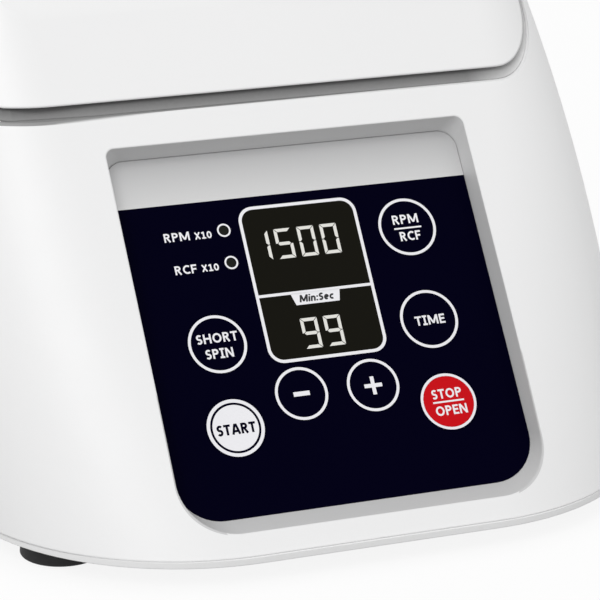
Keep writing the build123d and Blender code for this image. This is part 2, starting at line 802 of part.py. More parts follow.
for name, side in (("left", -1), ("right", 1)):
    # striker: a blade that drops through the deck, with a window for the bolt
    tip_z = deck_height - striker_drop
    with BuildPart() as striker:
        with BuildSketch(Plane.YZ.offset(side * striker_x)):
            with Locations((striker_y, (tip_z + lid_z) / 2)):
                Rectangle(striker_width, lid_z - tip_z)
            with Locations((striker_y, bolt_z)):
                Circle(bolt_radius + bolt_window, mode=Mode.SUBTRACT)
        extrude(amount=striker_thickness / 2, both=True)
        with BuildSketch(Plane.XY.offset(lid_z)):
            with Locations((side * striker_x, striker_y)):
                RectangleRounded(
                    striker_flange, striker_width + 2 * striker_flange_margin, striker_flange_margin
                )
        extrude(amount=-striker_flange_thickness)
    finish(striker.part, "lid_striker_" + name)

    # hinge arm: an eye on the pin, a web up to the lid's top
    arm_x = side * bracket_spread
    with BuildPart() as arm:
        with BuildSketch(Plane.YZ.offset(arm_x - arm_width / 2)):
            with BuildLine():
                Polyline(
                    (hinge_y - arm_reach, crown_z - wall),
                    (hinge_y - arm_reach, crown_z - wall - arm_end),
                    (hinge_y - arm_elbow, hinge_z - arm_crook),
                    (hinge_y, hinge_z - ear_head),
                    (hinge_y + arm_crook, hinge_z + arm_crook),
                    (hinge_y - arm_crook, crown_z - wall),
                    close=True,
                )
            make_face()
            with Locations((hinge_y, hinge_z)):
                Circle(ear_head)
                Circle(pin_radius + running_clearance, mode=Mode.SUBTRACT)
        extrude(amount=arm_width)
    finish(arm.part, "hinge_arm_" + name)

    # hinge bracket: two ears on a foot screwed to the deck
    with BuildPart() as bracket:
        for ear in (-1, 1):
            with BuildSketch(Plane.YZ.offset(arm_x + ear * (ear_gap + ear_thickness) / 2)):
                with BuildLine():
                    Polyline(
                        (hinge_y - bracket_foot, deck_height),
                        (hinge_y - bracket_web, deck_height),
                        (hinge_y - bracket_web, hinge_z - arm_end),
                        (hinge_y, hinge_z),
                        (hinge_y - ear_head + ear_clearance, hinge_z),
                        (hinge_y - bracket_foot, hinge_z - bracket_shoulder),
                        close=True,
                    )
                make_face()
                with Locations((hinge_y, hinge_z)):
                    Circle(ear_head)
                    Circle(pin_radius, mode=Mode.SUBTRACT)
            extrude(amount=ear_thickness / 2, both=True)
        with BuildSketch(Plane.XY.offset(deck_height)):
            with Locations((arm_x, hinge_y - bracket_foot / 2 - bracket_web)):
                Rectangle(ear_gap + 2 * ear_thickness, bracket_foot)
        extrude(amount=bracket_foot_thickness)
    finish(bracket.part, "hinge_bracket_" + name)
    pin_reach = ear_gap / 2 + ear_thickness + pin_overhang
    finish(
        cylinder_along_x(pin_radius, arm_x - pin_reach, arm_x + pin_reach, hinge_y, hinge_z),
        "hinge_pin_" + name,
    )

    # latch under the deck: frame with a guide, bolt, solenoid
    with BuildPart() as frame:
        add(
            box_between(
                (side * (striker_x + latch_reach), striker_y - latch_half, deck_under - latch_plate),
                (side * (bolt_low - 1), striker_y + latch_half, deck_under),
            )
        )
        with BuildSketch(Plane.XY.offset(deck_under - latch_plate)):
            with Locations((side * striker_x, striker_y)):
                RectangleRounded(striker_slot_width, striker_slot_length, striker_slot_corner)
        extrude(amount=latch_plate, mode=Mode.SUBTRACT)
        add(
            box_between(
                (side * (guide_x - guide_length / 2), striker_y - guide_half, bolt_z - guide_wall),
                (side * (guide_x + guide_length / 2), striker_y + guide_half, deck_under - latch_plate / 2),
            )
        )
        add(
            cylinder_along_x(
                bolt_radius + running_clearance, -lid_half_width, lid_half_width, striker_y, bolt_z
            ),
            mode=Mode.SUBTRACT,
        )
    finish(frame.part, "latch_frame_" + name)
    span_x = sorted((side * bolt_low, side * bolt_high))
    finish(cylinder_along_x(bolt_radius, span_x[0], span_x[1], striker_y, bolt_z), "latch_bolt_" + name)
    with BuildPart() as solenoid:
        add(
            box_between(
                (side * (coil_x - solenoid_length), striker_y - guide_half, bolt_z - guide_wall),
                (side * coil_x, striker_y + guide_half, deck_under - latch_plate),
            )
        )
        add(
            cylinder_along_x(
                bolt_radius + running_clearance, -lid_half_width, lid_half_width, striker_y, bolt_z
            ),
            mode=Mode.SUBTRACT,
        )
    finish(solenoid.part, "latch_solenoid_" + name)

# ---- rotor and drive ---------------------------------------------------------------------
spindle = Axis((0, axis_y, 0), (0, 0, 1))
with BuildPart() as rotor:
    with BuildSketch(Plane.XZ.offset(-axis_y)):
        with BuildLine():
            Polyline(
                (shaft_radius, rotor_z),
                (rotor_relief_inside - relief_taper, rotor_z),
                (rotor_relief_inside, rotor_z + rotor_relief_height),
                (rotor_relief_outside, rotor_z + rotor_relief_height),
                (rotor_relief_outside + rotor_relief_slope, rotor_z + rotor_skirt_rise),
                (rotor_base_radius - rotor_edge_chamfer, rotor_z + rotor_skirt_rise),
                (rotor_base_radius, rotor_z + rotor_skirt_rise + rotor_edge_chamfer),
                (rotor_base_radius, rotor_z + rotor_edge_height),
                (rotor_rim_radius, rotor_z + rotor_height),
                (rotor_mouth_radius, rotor_z + rotor_height),
                (rotor_mouth_radius - rotor_height + hub_floor, rotor_z + hub_floor),
                (rotor_hub_radius, rotor_z + hub_floor),
                (rotor_hub_radius - hub_taper, rotor_z + hub_top),
                (shaft_radius, rotor_z + hub_top),
                close=True,
            )
        make_face()
    revolve(axis=spindle)
    mouth_z = rotor_z + rotor_height + tube_pitch_radius - rotor_mouth_radius
    for step in range(tube_count):
        turn = 2 * pi * step / tube_count
        out = (cos(turn), sin(turn))
        tilt = radians(tube_lean)
        tube_plane = Plane(
            origin=(
                tube_pitch_radius * out[0],
                axis_y + tube_pitch_radius * out[1],
                mouth_z,
            ),
            x_dir=(-out[1], out[0], 0),
            z_dir=(out[0] * sin(tilt), out[1] * sin(tilt), -cos(tilt)),
        )
        with BuildSketch(tube_plane.offset(-tube_run_in)):
            Circle(tube_radius)
        extrude(amount=tube_run_in + tube_depth, mode=Mode.SUBTRACT)
finish(rotor.part, "rotor")

with BuildPart() as shaft:
    with BuildSketch(Plane.XY.offset(motor_z - motor_gap / 2)):
        with Locations((0, axis_y)):
            Circle(shaft_radius)
    extrude(amount=hub_top_z + shaft_reach - motor_z + motor_gap / 2)
finish(shaft.part, "motor_shaft")

knob_radius = rotor_hub_radius - knob_inset
with BuildPart() as knob:
    with BuildSketch(Plane.XY.offset(hub_top_z + knob_gap)):
        with Locations((0, axis_y)):
            Circle(knob_radius)
    extrude(amount=knob_height)
    with BuildSketch(Plane.XY.offset(hub_top_z + knob_collar)):
        with Locations((0, axis_y)):
            with PolarLocations(knob_radius + knob_flute_radius / 2, knob_flutes):
                Circle(knob_flute_radius)
    extrude(amount=knob_height, mode=Mode.SUBTRACT)
    with BuildSketch(Plane.XY.offset(hub_top_z)):
        with Locations((0, axis_y)):
            Circle(shaft_radius + running_clearance)
    extrude(amount=shaft_reach + 0.5, mode=Mode.SUBTRACT)
finish(knob.part, "rotor_knob")

with BuildPart() as motor:
    with BuildSketch(Plane.XY.offset(motor_z)):
        with Locations((0, axis_y)):
            Circle(motor_radius)
    extrude(amount=motor_height)
    fillet(motor.edges().filter_by(GeomType.CIRCLE).group_by(Axis.Z)[0], motor_fillet)
    # two seams around the can
    for height in (motor_height / 4, motor_height * 3 / 4):
        with BuildSketch(Plane.XY.offset(motor_z + height)):
            with Locations((0, axis_y)):
                Circle(motor_radius + 1)
                Circle(motor_radius - motor_seam_depth, mode=Mode.SUBTRACT)
        extrude(amount=motor_seam_width, mode=Mode.SUBTRACT)
    with BuildSketch(Plane.XY.offset(motor_z)):
        with Locations((0, axis_y)):
            Circle(shaft_radius + running_clearance)
    extrude(amount=motor_height, mode=Mode.SUBTRACT)
finish(motor.part, "drive_motor")

with BuildPart() as motor_bracket:
    with BuildSketch(Plane.XY.offset(bracket_z)):
        with Locations((0, axis_y)):
            RectangleRounded(2 * bracket_half, 2 * bracket_half, bracket_corner)
            Circle(bowl_neck_radius, mode=Mode.SUBTRACT)
    extrude(amount=bracket_thickness)
finish(motor_bracket.part, "motor_bracket")

with BuildPart() as mounts:
    with BuildSketch(Plane.XY.offset(bracket_z - mount_height)):
        with Locations((0, axis_y)):
            with GridLocations(2 * mount_spacing, 2 * mount_spacing, 2, 2):
                Circle(mount_radius)
    extrude(amount=mount_height)
    with BuildSketch(Plane.XY.offset(bracket_z - mount_height / 2 - mount_groove / 2)):
        with Locations((0, axis_y)):
            with GridLocations(2 * mount_spacing, 2 * mount_spacing, 2, 2):
                Circle(mount_radius + 1)
                Circle(mount_waist, mode=Mode.SUBTRACT)
    extrude(amount=mount_groove, mode=Mode.SUBTRACT)
finish(mounts.part, "motor_mounts")

with BuildPart() as posts:
    with BuildSketch(Plane.XY.offset(housing_z)):
        with Locations((0, axis_y)):
            with GridLocations(2 * mount_spacing, 2 * mount_spacing, 2, 2):
                Circle(post_radius)
    extrude(amount=bracket_z - mount_height - housing_z)
finish(posts.part, "motor_posts")

# ---- control panel -------------------------------------------------------------------------
flange_face = -plate_thickness - running_clearance
plunger_end = flange_face - key_flange - key_stem_length
with BuildPart() as plate:
    plate_outline = panel_outline(
        plate_half, plate_top, plate_bottom, plate_top_corner, plate_bottom_corner, -plate_thickness
    )
    extrude(plate_outline, amount=plate_thickness, dir=panel_plane.z_dir)
    with BuildSketch(panel_plane.offset(-plate_thickness)):
        with Locations((0, (window_top + window_bottom) / 2)):
            RectangleRounded(2 * window_half, window_top - window_bottom, window_corner)
        for name, across, up, radius in keys:
            with Locations((across, up)):
                Circle(radius + key_clearance)
        with Locations(*lamp_places):
            Circle(lamp_radius + lamp_clearance)
    extrude(amount=plate_thickness, mode=Mode.SUBTRACT)
finish(plate.part, "front_panel")

with BuildPart() as window:
    with BuildSketch(panel_plane.offset(-plate_thickness)):
        with Locations((0, (window_top + window_bottom) / 2)):
            RectangleRounded(
                2 * (window_half - window_gap),
                window_top - window_bottom - 2 * window_gap,
                window_corner - window_gap,
            )
    extrude(amount=plate_thickness)
    with BuildSketch(panel_plane.offset(-plate_thickness - window_flange_thickness)):
        with Locations((0, (window_top + window_bottom) / 2)):
            RectangleRounded(
                2 * (window_half + window_flange), window_top - window_bottom, window_corner
            )
    extrude(amount=window_flange_thickness)
finish(window.part, "display_window")

for name, up in (
    ("upper", window_top - digit_inset),
    ("lower", window_bottom + digit_inset + digit_height),
):
    with BuildPart() as digits:
        with BuildSketch(panel_plane.offset(board_face)):
            with Locations((0, up - digit_height / 2)):
                Rectangle(digit_width, digit_height)
        extrude(amount=digit_depth)
    finish(digits.part, "digit_module_" + name)

with BuildPart() as lamps:
    with BuildSketch(panel_plane.offset(board_face)):
        with Locations(*lamp_places):
            Circle(lamp_radius)
    extrude(amount=-board_face - lamp_clearance)
finish(lamps.part, "indicator_lamps")

with BuildPart() as board:
    with BuildSketch(panel_plane.offset(board_face - board_thickness)):
        with Locations((0, (board_top + board_bottom) / 2)):
            RectangleRounded(2 * board_half, board_top - board_bottom, board_boss_radius)
    extrude(amount=board_thickness)
finish(board.part, "control_board")

with BuildPart() as key_switches:
    with BuildSketch(panel_plane.offset(board_face)):
        for name, across, up, radius in keys:
            with Locations((across, up)):
                Rectangle(switch_body, switch_body)
    extrude(amount=switch_body_height)
    with BuildSketch(panel_plane.offset(board_face + switch_body_height)):
        for name, across, up, radius in keys:
            with Locations((across, up)):
                Circle(switch_plunger_radius)
    extrude(amount=plunger_end - key_travel - switch_play - board_face - switch_body_height)
finish(key_switches.part, "key_switches")

for name, across, up, radius in keys:
    with BuildPart() as key:
        with BuildSketch(panel_plane.offset(flange_face)):
            with Locations((across, up)):
                Circle(radius)
        extrude(amount=-flange_face)
        with BuildSketch(panel_plane.offset(flange_face)):
            with Locations((across, up)):
                Circle(radius + key_flange)
        extrude(amount=-key_flange)
        with BuildSketch(panel_plane.offset(flange_face - key_flange)):
            with Locations((across, up)):
                Circle(key_stem_radius)
        extrude(amount=plunger_end - flange_face + key_flange)
    finish(key.part, name)

# ---- rear fittings and power supply ----------------------------------------------------------
pin_places = [
    (-inlet_x - pin_pitch, inlet_rise - pin_offset),
    (-inlet_x + pin_pitch, inlet_rise - pin_offset),
    (-inlet_x, inlet_rise + pin_offset),
]
with BuildPart() as inlet:
    with BuildSketch(rear_plane.offset(-inlet_depth)):
        with Locations((-inlet_x, inlet_rise)):
            Rectangle(inlet_width, inlet_height)
    extrude(amount=inlet_depth)
    with BuildSketch(rear_plane):
        with Locations((-inlet_x, inlet_rise)):
            RectangleRounded(inlet_width + 2 * bezel_margin, inlet_height + 2 * bezel_margin, bezel_margin)
    extrude(amount=bezel_thickness)
    with BuildSketch(rear_plane.offset(-inlet_depth + inlet_back)):
        with BuildLine():
            half = inlet_width / 2 - inlet_wall
            rise = inlet_height / 2 - inlet_wall
            Polyline(
                (-inlet_x - half, inlet_rise - rise),
                (-inlet_x + half, inlet_rise - rise),
                (-inlet_x + half, inlet_rise + rise - inlet_notch),
                (-inlet_x + half - inlet_notch, inlet_rise + rise),
                (-inlet_x - half + inlet_notch, inlet_rise + rise),
                (-inlet_x - half, inlet_rise + rise - inlet_notch),
                close=True,
            )
        make_face()
    extrude(amount=inlet_depth, mode=Mode.SUBTRACT)
    with BuildSketch(rear_plane.offset(-inlet_depth)):
        with Locations(*pin_places):
            Rectangle(pin_width, pin_height)
    extrude(amount=inlet_back, mode=Mode.SUBTRACT)
finish(inlet.part, "mains_inlet")

with BuildPart() as pins:
    with BuildSketch(rear_plane.offset(-inlet_depth - pin_tail)):
        with Locations(*pin_places):
            Rectangle(pin_width, pin_height)
    extrude(amount=inlet_depth)
finish(pins.part, "inlet_pins")

with BuildPart() as switch_frame:
    with BuildSketch(rear_plane.offset(-switch_depth)):
        with Locations((-switch_x, inlet_rise)):
            Rectangle(switch_width, switch_height)
    extrude(amount=switch_depth)
    with BuildSketch(rear_plane):
        with Locations((-switch_x, inlet_rise)):
            RectangleRounded(
                switch_width + 2 * bezel_margin, switch_height + 2 * bezel_margin, bezel_margin
            )
    extrude(amount=bezel_thickness)
    with BuildSketch(rear_plane.offset(-switch_depth + switch_back)):
        with Locations((-switch_x, inlet_rise)):
            Rectangle(switch_width - 2 * switch_wall, switch_height - 2 * switch_wall)
    extrude(amount=switch_depth, mode=Mode.SUBTRACT)
finish(switch_frame.part, "power_switch_frame")

# rocker, drawn in the middle position and tilted to "off"
rocker_reach = switch_height / 2 - rocker_end_gap
with BuildPart() as rocker:
    with BuildSketch(Plane.YZ):
        with BuildLine():
            Polyline(
                (rocker_crest, -rocker_reach),
                (rocker_dip, 0),
                (rocker_crest, rocker_reach),
                (0, rocker_reach),
                (rocker_belly, rocker_reach / 2),
                (rocker_belly, -rocker_reach / 2),
                (0, -rocker_reach),
                close=True,
            )
        make_face()
    extrude(amount=switch_width / 2 - rocker_side_gap, both=True)
rocker_place = Location(rear_plane) * Pos(-switch_x, inlet_rise, rocker_pivot)
pivot_point = rocker_place.position
rocker_body = (
    Pos(pivot_point.X, pivot_point.Y, pivot_point.Z)
    * Rot(rear_draft - rocker_tilt / 2, 0, 0)
    * rocker.part
)
finish(rocker_body, "power_rocker")

supply_front = axis_y + mount_spacing + mount_radius * 2    # clear of the motor's mounts
supply_depth = rear_y - inlet_depth - wall - supply_front
supply_y = supply_front + supply_depth / 2
supply_top = housing_z + supply_standoff + board_thickness
with BuildPart() as supply:
    with BuildSketch(Plane.XY.offset(housing_z)):
        with Locations((supply_x, supply_y)):
            with GridLocations(supply_width - 4 * supply_post, supply_depth - 4 * supply_post, 2, 2):
                Circle(supply_post)
    extrude(amount=supply_standoff)
    with BuildSketch(Plane.XY.offset(housing_z + supply_standoff)):
        with Locations((supply_x, supply_y)):
            RectangleRounded(supply_width, supply_depth, supply_post)
    extrude(amount=board_thickness)
    with BuildSketch(Plane.XY.offset(supply_top)):
        with Locations((supply_x - supply_width / 4, supply_y)):
            Rectangle(supply_width / 4, supply_depth * transformer_share)
    extrude(amount=capacitor_height)
finish(supply.part, "power_board")

with BuildPart() as capacitors:
    with BuildSketch(Plane.XY.offset(supply_top)):
        with Locations((supply_x + supply_width / 15, supply_y)):
            with GridLocations(0, supply_depth * 0.4, 1, 2):
                Circle(capacitor_radius)
    extrude(amount=capacitor_height)
    fillet(capacitors.edges().filter_by(GeomType.CIRCLE).group_by(Axis.Z)[-1], capacitor_radius / 8)
finish(capacitors.part, "power_capacitors")

fin_pitch = (supply_depth - 3 * sink_margin) / (sink_fins - 1)
with BuildPart() as heat_sink:
    with BuildSketch(Plane.XY.offset(supply_top)):
        with Locations((supply_x + supply_width / 3, supply_y)):
            Rectangle(sink_spine, supply_depth - 2 * sink_margin)
            with GridLocations(0, fin_pitch, 1, sink_fins):
                Rectangle(supply_width / 5, sink_fin)
    extrude(amount=capacitor_height)
finish(heat_sink.part, "heat_sink")
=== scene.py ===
# %% [markdown]
# # A bench micro-centrifuge, dressed for its portrait
# The solid model of the machine is already made and packed. This lesson loads it, gives every
# visible piece a finish, adds the printing on the control panel and sets up a small studio.
# The loaded pieces stay exactly where they are: only their materials change here.

# %% Load the model
import math

import bmesh
import bpy
from mathutils import Matrix, Vector


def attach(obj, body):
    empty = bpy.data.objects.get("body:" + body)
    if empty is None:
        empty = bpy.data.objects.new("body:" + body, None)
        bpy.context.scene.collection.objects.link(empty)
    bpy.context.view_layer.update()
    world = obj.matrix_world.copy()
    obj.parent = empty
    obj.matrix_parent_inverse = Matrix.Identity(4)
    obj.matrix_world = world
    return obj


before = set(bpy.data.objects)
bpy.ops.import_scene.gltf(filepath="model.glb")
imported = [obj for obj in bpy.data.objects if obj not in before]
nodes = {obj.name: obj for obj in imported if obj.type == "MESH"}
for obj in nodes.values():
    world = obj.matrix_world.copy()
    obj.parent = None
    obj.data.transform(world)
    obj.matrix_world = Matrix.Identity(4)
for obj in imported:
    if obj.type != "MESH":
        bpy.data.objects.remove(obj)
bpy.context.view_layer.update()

# %% [markdown]
# ## The control panel's own axes
# The panel leans back by 37 degrees. Printing and keys are easiest to place in the panel's own
# axes: u to the right, v up the slope, n straight out of the face. One small function turns
# such a place, in millimetres, into a point of the model, in metres.

# %% Panel axes
LEAN = math.radians(37.0)
PANEL_ORIGIN = Vector((0.0, -87.02, 68.82))
U = Vector((1.0, 0.0, 0.0))
V = Vector((0.0, math.sin(LEAN), math.cos(LEAN)))
N = Vector((0.0, -math.cos(LEAN), math.sin(LEAN)))


def on_panel(u, v, n=0.0):
    """A point given in panel millimetres, as a model point in metres."""
    return (PANEL_ORIGIN + U * u + V * v + N * n) / 1000.0


print("panel centre:", [round(x, 4) for x in on_panel(0, 0)])

# %% [markdown]
# ## Where the front face runs
# The front leans back from its foot at the same angle as the panel. Seen from above it is
# straight in the middle and round at both ends. The gutter under the lid follows it, so the
# few sizes that say where it runs are named here, in millimetres: the height of the deck and of
# the lid's rim above it, half the lid's width, the gap beside the lid, and the radius of its two
# lower corners.

# %% Front face and gutter
FRONT_EDGE, FOOT_HEIGHT = -143.0, 7.0
ROUND_FROM, ROUND_RADIUS = 73.3, 31.4
DECK, RIM = 124.4, 128.3
LID_HALF, SIDE_GAP = 92.8, 2.3
CORNER_LEFT, CORNER_RIGHT = 5.0, 16.0


def front_at(x, z):
    """How far back the front face lies, at a place across and a height."""
    past = max(abs(x) - ROUND_FROM, 0.0)
    recede = ROUND_RADIUS - math.sqrt(ROUND_RADIUS ** 2 - past ** 2)
    return FRONT_EDGE + (z - FOOT_HEIGHT) * math.tan(LEAN) + recede


print("front at the deck, middle and side:", [round(front_at(x, DECK), 2) for x in (0, 90)])

# %% [markdown]
# ## A shorthand for shader maths
# A finish is a small graph of nodes. Wiring each Math node by hand hides what the graph does,
# so one class wraps a socket and turns ordinary Python sums into nodes, and one method adds
# any other node: its settings first, then what goes into its sockets. The settings come first
# because they decide which sockets are in use: a Mix node that is set to colours takes colours.


# %% Shader shorthand
class Wire:
    """A socket that can be used in Python sums; each sum adds a Math node."""

    def __init__(self, tree, socket):
        self.tree = tree
        self.socket = socket

    def math(self, operation, *values):
        """One Math node."""
        return add_node(self.tree, "ShaderNodeMath", {"operation": operation}, *values)

    def __add__(self, other):
        return self.math("ADD", self, other)

    def __radd__(self, other):
        return self.math("ADD", other, self)

    def __sub__(self, other):
        return self.math("SUBTRACT", self, other)

    def __rsub__(self, other):
        return self.math("SUBTRACT", other, self)

    def __mul__(self, other):
        return self.math("MULTIPLY", self, other)

    def __rmul__(self, other):
        return self.math("MULTIPLY", other, self)

    def __truediv__(self, other):
        return self.math("DIVIDE", self, other)

    def __rtruediv__(self, other):
        return self.math("DIVIDE", other, self)

    def __pow__(self, other):
        return self.math("POWER", self, other)

    def __rpow__(self, other):
        return self.math("POWER", other, self)

    def __gt__(self, other):
        return self.math("GREATER_THAN", self, other)

    def __lt__(self, other):
        return self.math("LESS_THAN", self, other)

    def __abs__(self):
        return self.math("ABSOLUTE", self)

    def at_least(self, floor):
        """The value, or a floor where the value is below it."""
        return self.math("MAXIMUM", self, floor)

    def at_most(self, ceiling):
        """The value, or a ceiling where the value is above it."""
        return self.math("MINIMUM", self, ceiling)


def plug(tree, socket, value):
    """Puts a number, a colour or another node's output into a socket."""
    if isinstance(value, Wire):
        tree.links.new(value.socket, socket)
    elif isinstance(value, (tuple, list)) and socket.type == "RGBA" and len(value) == 3:
        socket.default_value = (*value, 1.0)
    else:
        socket.default_value = value


def add_node(tree, kind, settings, *values, out=0, **named):
    """Adds a node: its settings first, then its sockets by place or by name."""
    node = tree.nodes.new(kind)
    for name, setting in settings.items():
        setattr(node, name, setting)
    in_use = [socket for socket in node.inputs if socket.enabled]
    for socket, value in zip(in_use, values):
        plug(tree, socket, value)
    for name, value in named.items():
        plug(tree, node.inputs[name.replace("_", " ")], value)
    return Wire(tree, node.outputs[out])


print("sums that become nodes:", len([name for name in vars(Wire) if name.startswith("__r")]))

# %% [markdown]
# ## A finish and the methods that build it
# Every finish is a Principled shader with a few nodes in front of it. One class makes the
# material and holds the methods that the finishes below share: uneven noise, a blend of two
# colours, the distance along a direction, and fine relief. Places are read as Object
# coordinates, in metres, so grain and dust keep their real size on every piece.


# %% Finishes
class Finish:
    """A material with its main shader, and the methods that build its graph."""

    def __init__(self, name, **constants):
        self.material = bpy.data.materials.new(name)
        self.material.use_nodes = True
        self.tree = self.material.node_tree
        self.shader = self.tree.nodes["Principled BSDF"]
        self.place = self.node("ShaderNodeTexCoord", {}, out="Object")
        for socket, value in constants.items():
            plug(self.tree, self.shader.inputs[socket.replace("_", " ")], value)

    def node(self, kind, settings, *values, out=0, **named):
        """One node of any kind in this material."""
        return add_node(self.tree, kind, settings, *values, out=out, **named)

    def noise(self, scale, detail=3.0, roughness=0.55, place=None):
        """Soft uneven values from 0 to 1; scale is in lumps per metre."""
        return self.node(
            "ShaderNodeTexNoise", {}, Vector=place or self.place, Scale=scale, Detail=detail,
            Roughness=roughness,
        )

    def mix(self, mask, low, high):
        """Two colours blended by a mask; the colour result is a Mix node's third output."""
        return self.node("ShaderNodeMix", {"data_type": "RGBA"}, mask, low, high, out=2)

    def along(self, direction, origin=(0.0, 0.0, 0.0)):
        """The distance along a direction from a point, in metres."""
        offset = self.node(
            "ShaderNodeVectorMath", {"operation": "SUBTRACT"}, self.place, tuple(origin)
        )
        return self.node(
            "ShaderNodeVectorMath", {"operation": "DOT_PRODUCT"}, offset, tuple(direction),
            out="Value",
        )

    def bump(self, height, distance, strength, edge):
        """Fine relief, over edges that are softened by a small radius, in metres."""
        sockets = {"Height": height, "Distance": distance, "Strength": strength}
        if edge:
            sockets["Normal"] = self.node("ShaderNodeBevel", {"samples": 6}, Radius=edge)
        self.feed("Normal", self.node("ShaderNodeBump", {}, **sockets))

    def feed(self, socket, value):
        """Puts a value or a node's output into a socket of the main shader."""
        plug(self.tree, self.shader.inputs[socket], value)


dressed = set()


def dress(finish, *names):
    """Gives a finish to loaded pieces; everything else about them stays as it is."""
    for name in names:
        mesh = nodes[name].data
        mesh.materials.clear()
        mesh.materials.append(finish.material)
        dressed.add(name)


print("pieces to dress:", len(nodes))

# %% [markdown]
# ## Moulded white plastic
# The shell and the lid are injection-moulded in white. Close up such plastic is never quite
# even: the tool leaves a very fine grain, the gloss drifts a little from place to place, and
# every edge has a small radius that catches the light. The grain is a fine noise in a Bump
# node, and the edge radius comes from a Bevel node, so the exact solid stays untouched.


# %% White housing and lid
def moulded(name, colour, shade, roughness, grain=0.00001, edge=0.0, gloss=0.45):
    """Opaque moulded plastic: colour drift, gloss drift, fine grain and soft edges."""
    finish = Finish(name, Specular_IOR_Level=gloss)
    drift = finish.noise(9.0, detail=2.0)
    cloud = finish.noise(55.0, detail=4.0)
    grains = finish.noise(2600.0, detail=2.0) + 0.6 * finish.noise(900.0, detail=2.0)
    finish.colour = finish.mix(drift, colour, shade)
    finish.feed("Base Color", finish.colour)
    finish.feed("Roughness", roughness + 0.10 * (cloud - 0.5))
    finish.bump(grains, distance=grain, strength=0.5, edge=edge)
    return finish


white_shell = moulded(
    "white_shell", (0.885, 0.885, 0.887), (0.865, 0.866, 0.868), 0.42, grain=0.00004, edge=0.0009
)
white_lid = moulded(
    "white_lid", (0.89, 0.89, 0.891), (0.87, 0.871, 0.873), 0.40, grain=0.00004, edge=0.0011
)
dress(white_shell, "upper_housing")
dress(white_lid, "lid_shell")
print("dressed so far:", len(dressed), "of", len(nodes))

# %% [markdown]
# ## Painted shade on the walls of the panel's recess
# The walls of the recess around the panel get painted shade: they are painted greyer than the
# outer skin. They belong to the same solid as the skin, so they are picked out by place, with a
# mask: 1 inside the recess, 0 elsewhere. Its outline, in the panel's own axes and in metres, is a
# box with two round lower corners. Outside a corner's centre, the distance to that centre decides.

# %% Mask of the recess
WALL_CORNER, WALL_FOOT, WALL_RADIUS = 0.0426, -0.0557, 0.0177
WALL_TOP, WALL_RIM, WALL_BED = 0.0535, 0.0073, -0.004
across, upward, outward = (white_shell.along(axis, PANEL_ORIGIN / 1000.0) for axis in (U, V, N))
past_side = (abs(across) - WALL_CORNER).at_least(0.0)
past_foot = (WALL_FOOT - upward).at_least(0.0)
recess = (past_side * past_side + past_foot * past_foot < WALL_RADIUS ** 2) * (upward < WALL_TOP)
recess = recess * (outward < WALL_RIM) * (outward > WALL_BED)
# Painted shade: the recess walls are painted grey, 0.62 against about 0.88, where they face away
# from the light.
shell_with_recess_shade = white_shell.mix(recess, white_shell.colour, (0.62, 0.62, 0.622))
print("recess, wall to wall:", round(2 * 1000 * (WALL_CORNER + WALL_RADIUS), 1), "mm")

# %% [markdown]
# ## Painted shade along the deck
# The front of the deck lies in the gutter under the lid and sees little light, so it is painted
# greyer too, as painted shade. This mask, again in metres, takes a thin slice by height, and
# then measures how far a place lies behind the front edge, which recedes at both ends. The grey
# starts a little behind the edge, further back towards the right, and fades in from the left end.

# %% Mask of the gutter
SLICE_LOW, SLICE_HIGH, SLICE_DEPTH = 0.1235, 0.1246, 0.0036
LEFT_END, RIGHT_END, FADE_IN = -0.0925, 0.079, 0.003
GREY_FROM, GREY_DRIFT, GREY_BLUR = 0.0009, 0.0205, 0.0005
height = white_shell.along((0, 0, 1))
past = (abs(across) - ROUND_FROM / 1000.0).at_least(0.0)
recede = ROUND_RADIUS / 1000.0 - ((ROUND_RADIUS / 1000.0) ** 2 - past * past) ** 0.5
behind_edge = white_shell.along((0, 1, 0), (0.0, front_at(0.0, DECK) / 1000.0, 0.0)) - recede
from_left = ((across - LEFT_END) / FADE_IN).at_most(1.0).at_least(0.0)
gutter = (height < SLICE_HIGH) * (height > SLICE_LOW) * (across < RIGHT_END)
gutter = gutter * (behind_edge < SLICE_DEPTH) * from_left
deck_shade_ramp = (behind_edge - GREY_FROM - GREY_DRIFT * across) / GREY_BLUR + 0.5
# Painted shade: the deck's front in the gutter is painted grey, 0.285, which fades in along the
# ramp.
white_shell.feed("Base Color", white_shell.mix(gutter * deck_shade_ramp, shell_with_recess_shade, (0.285, 0.285, 0.285)))
print("gutter slice:", round(1000 * (SLICE_HIGH - SLICE_LOW), 1), "mm high")

# %% [markdown]
# ## Base plate, feet and fastenings
# The base is a pressed steel plate with a pale textured paint; its edge shows as a thin grey
# line under the white shell. The feet are black rubber, dull, with a little dust in the pores.
# Brackets, arms and screws are zinc-plated steel, whose crystals are the cells of a Voronoi node.


# %% Rubber
def rubber(name, colour, dust):
    """Dull rubber: open pores, and a film of dust that comes and goes."""
    finish = Finish(name, Specular_IOR_Level=0.3)
    pores = finish.noise(700.0, detail=5.0, roughness=0.7)
    film = finish.noise(45.0)
    finish.feed("Base Color", finish.mix(film * 0.6, colour, dust))
    finish.feed("Roughness", 0.62 + 0.25 * (pores - 0.5))
    finish.bump(pores, distance=0.00012, strength=0.6, edge=0.0005)
    return finish


foot_rubber = rubber("foot_rubber", (0.012, 0.012, 0.013), (0.03, 0.03, 0.031))
black_rubber = rubber("black_rubber", (0.02, 0.02, 0.021), (0.04, 0.04, 0.041))
dress(foot_rubber, "foot_front_left", "foot_front_right", "foot_rear_left", "foot_rear_right")
dress(black_rubber, "motor_mounts", "lid_seal")
print("dressed so far:", len(dressed), "of", len(nodes))


# %% Paint
def painted(name, colour, shade, roughness):
    """Sprayed paint: a slow drift of colour and the dimples of an orange's skin."""
    finish = Finish(name)
    orange_peel = finish.noise(480.0)
    finish.feed("Base Color", finish.mix(finish.noise(20.0), colour, shade))
    finish.feed("Roughness", roughness + 0.2 * (finish.noise(160.0) - 0.5))
    finish.bump(orange_peel, distance=0.00008, strength=0.5, edge=0.0004)
    return finish


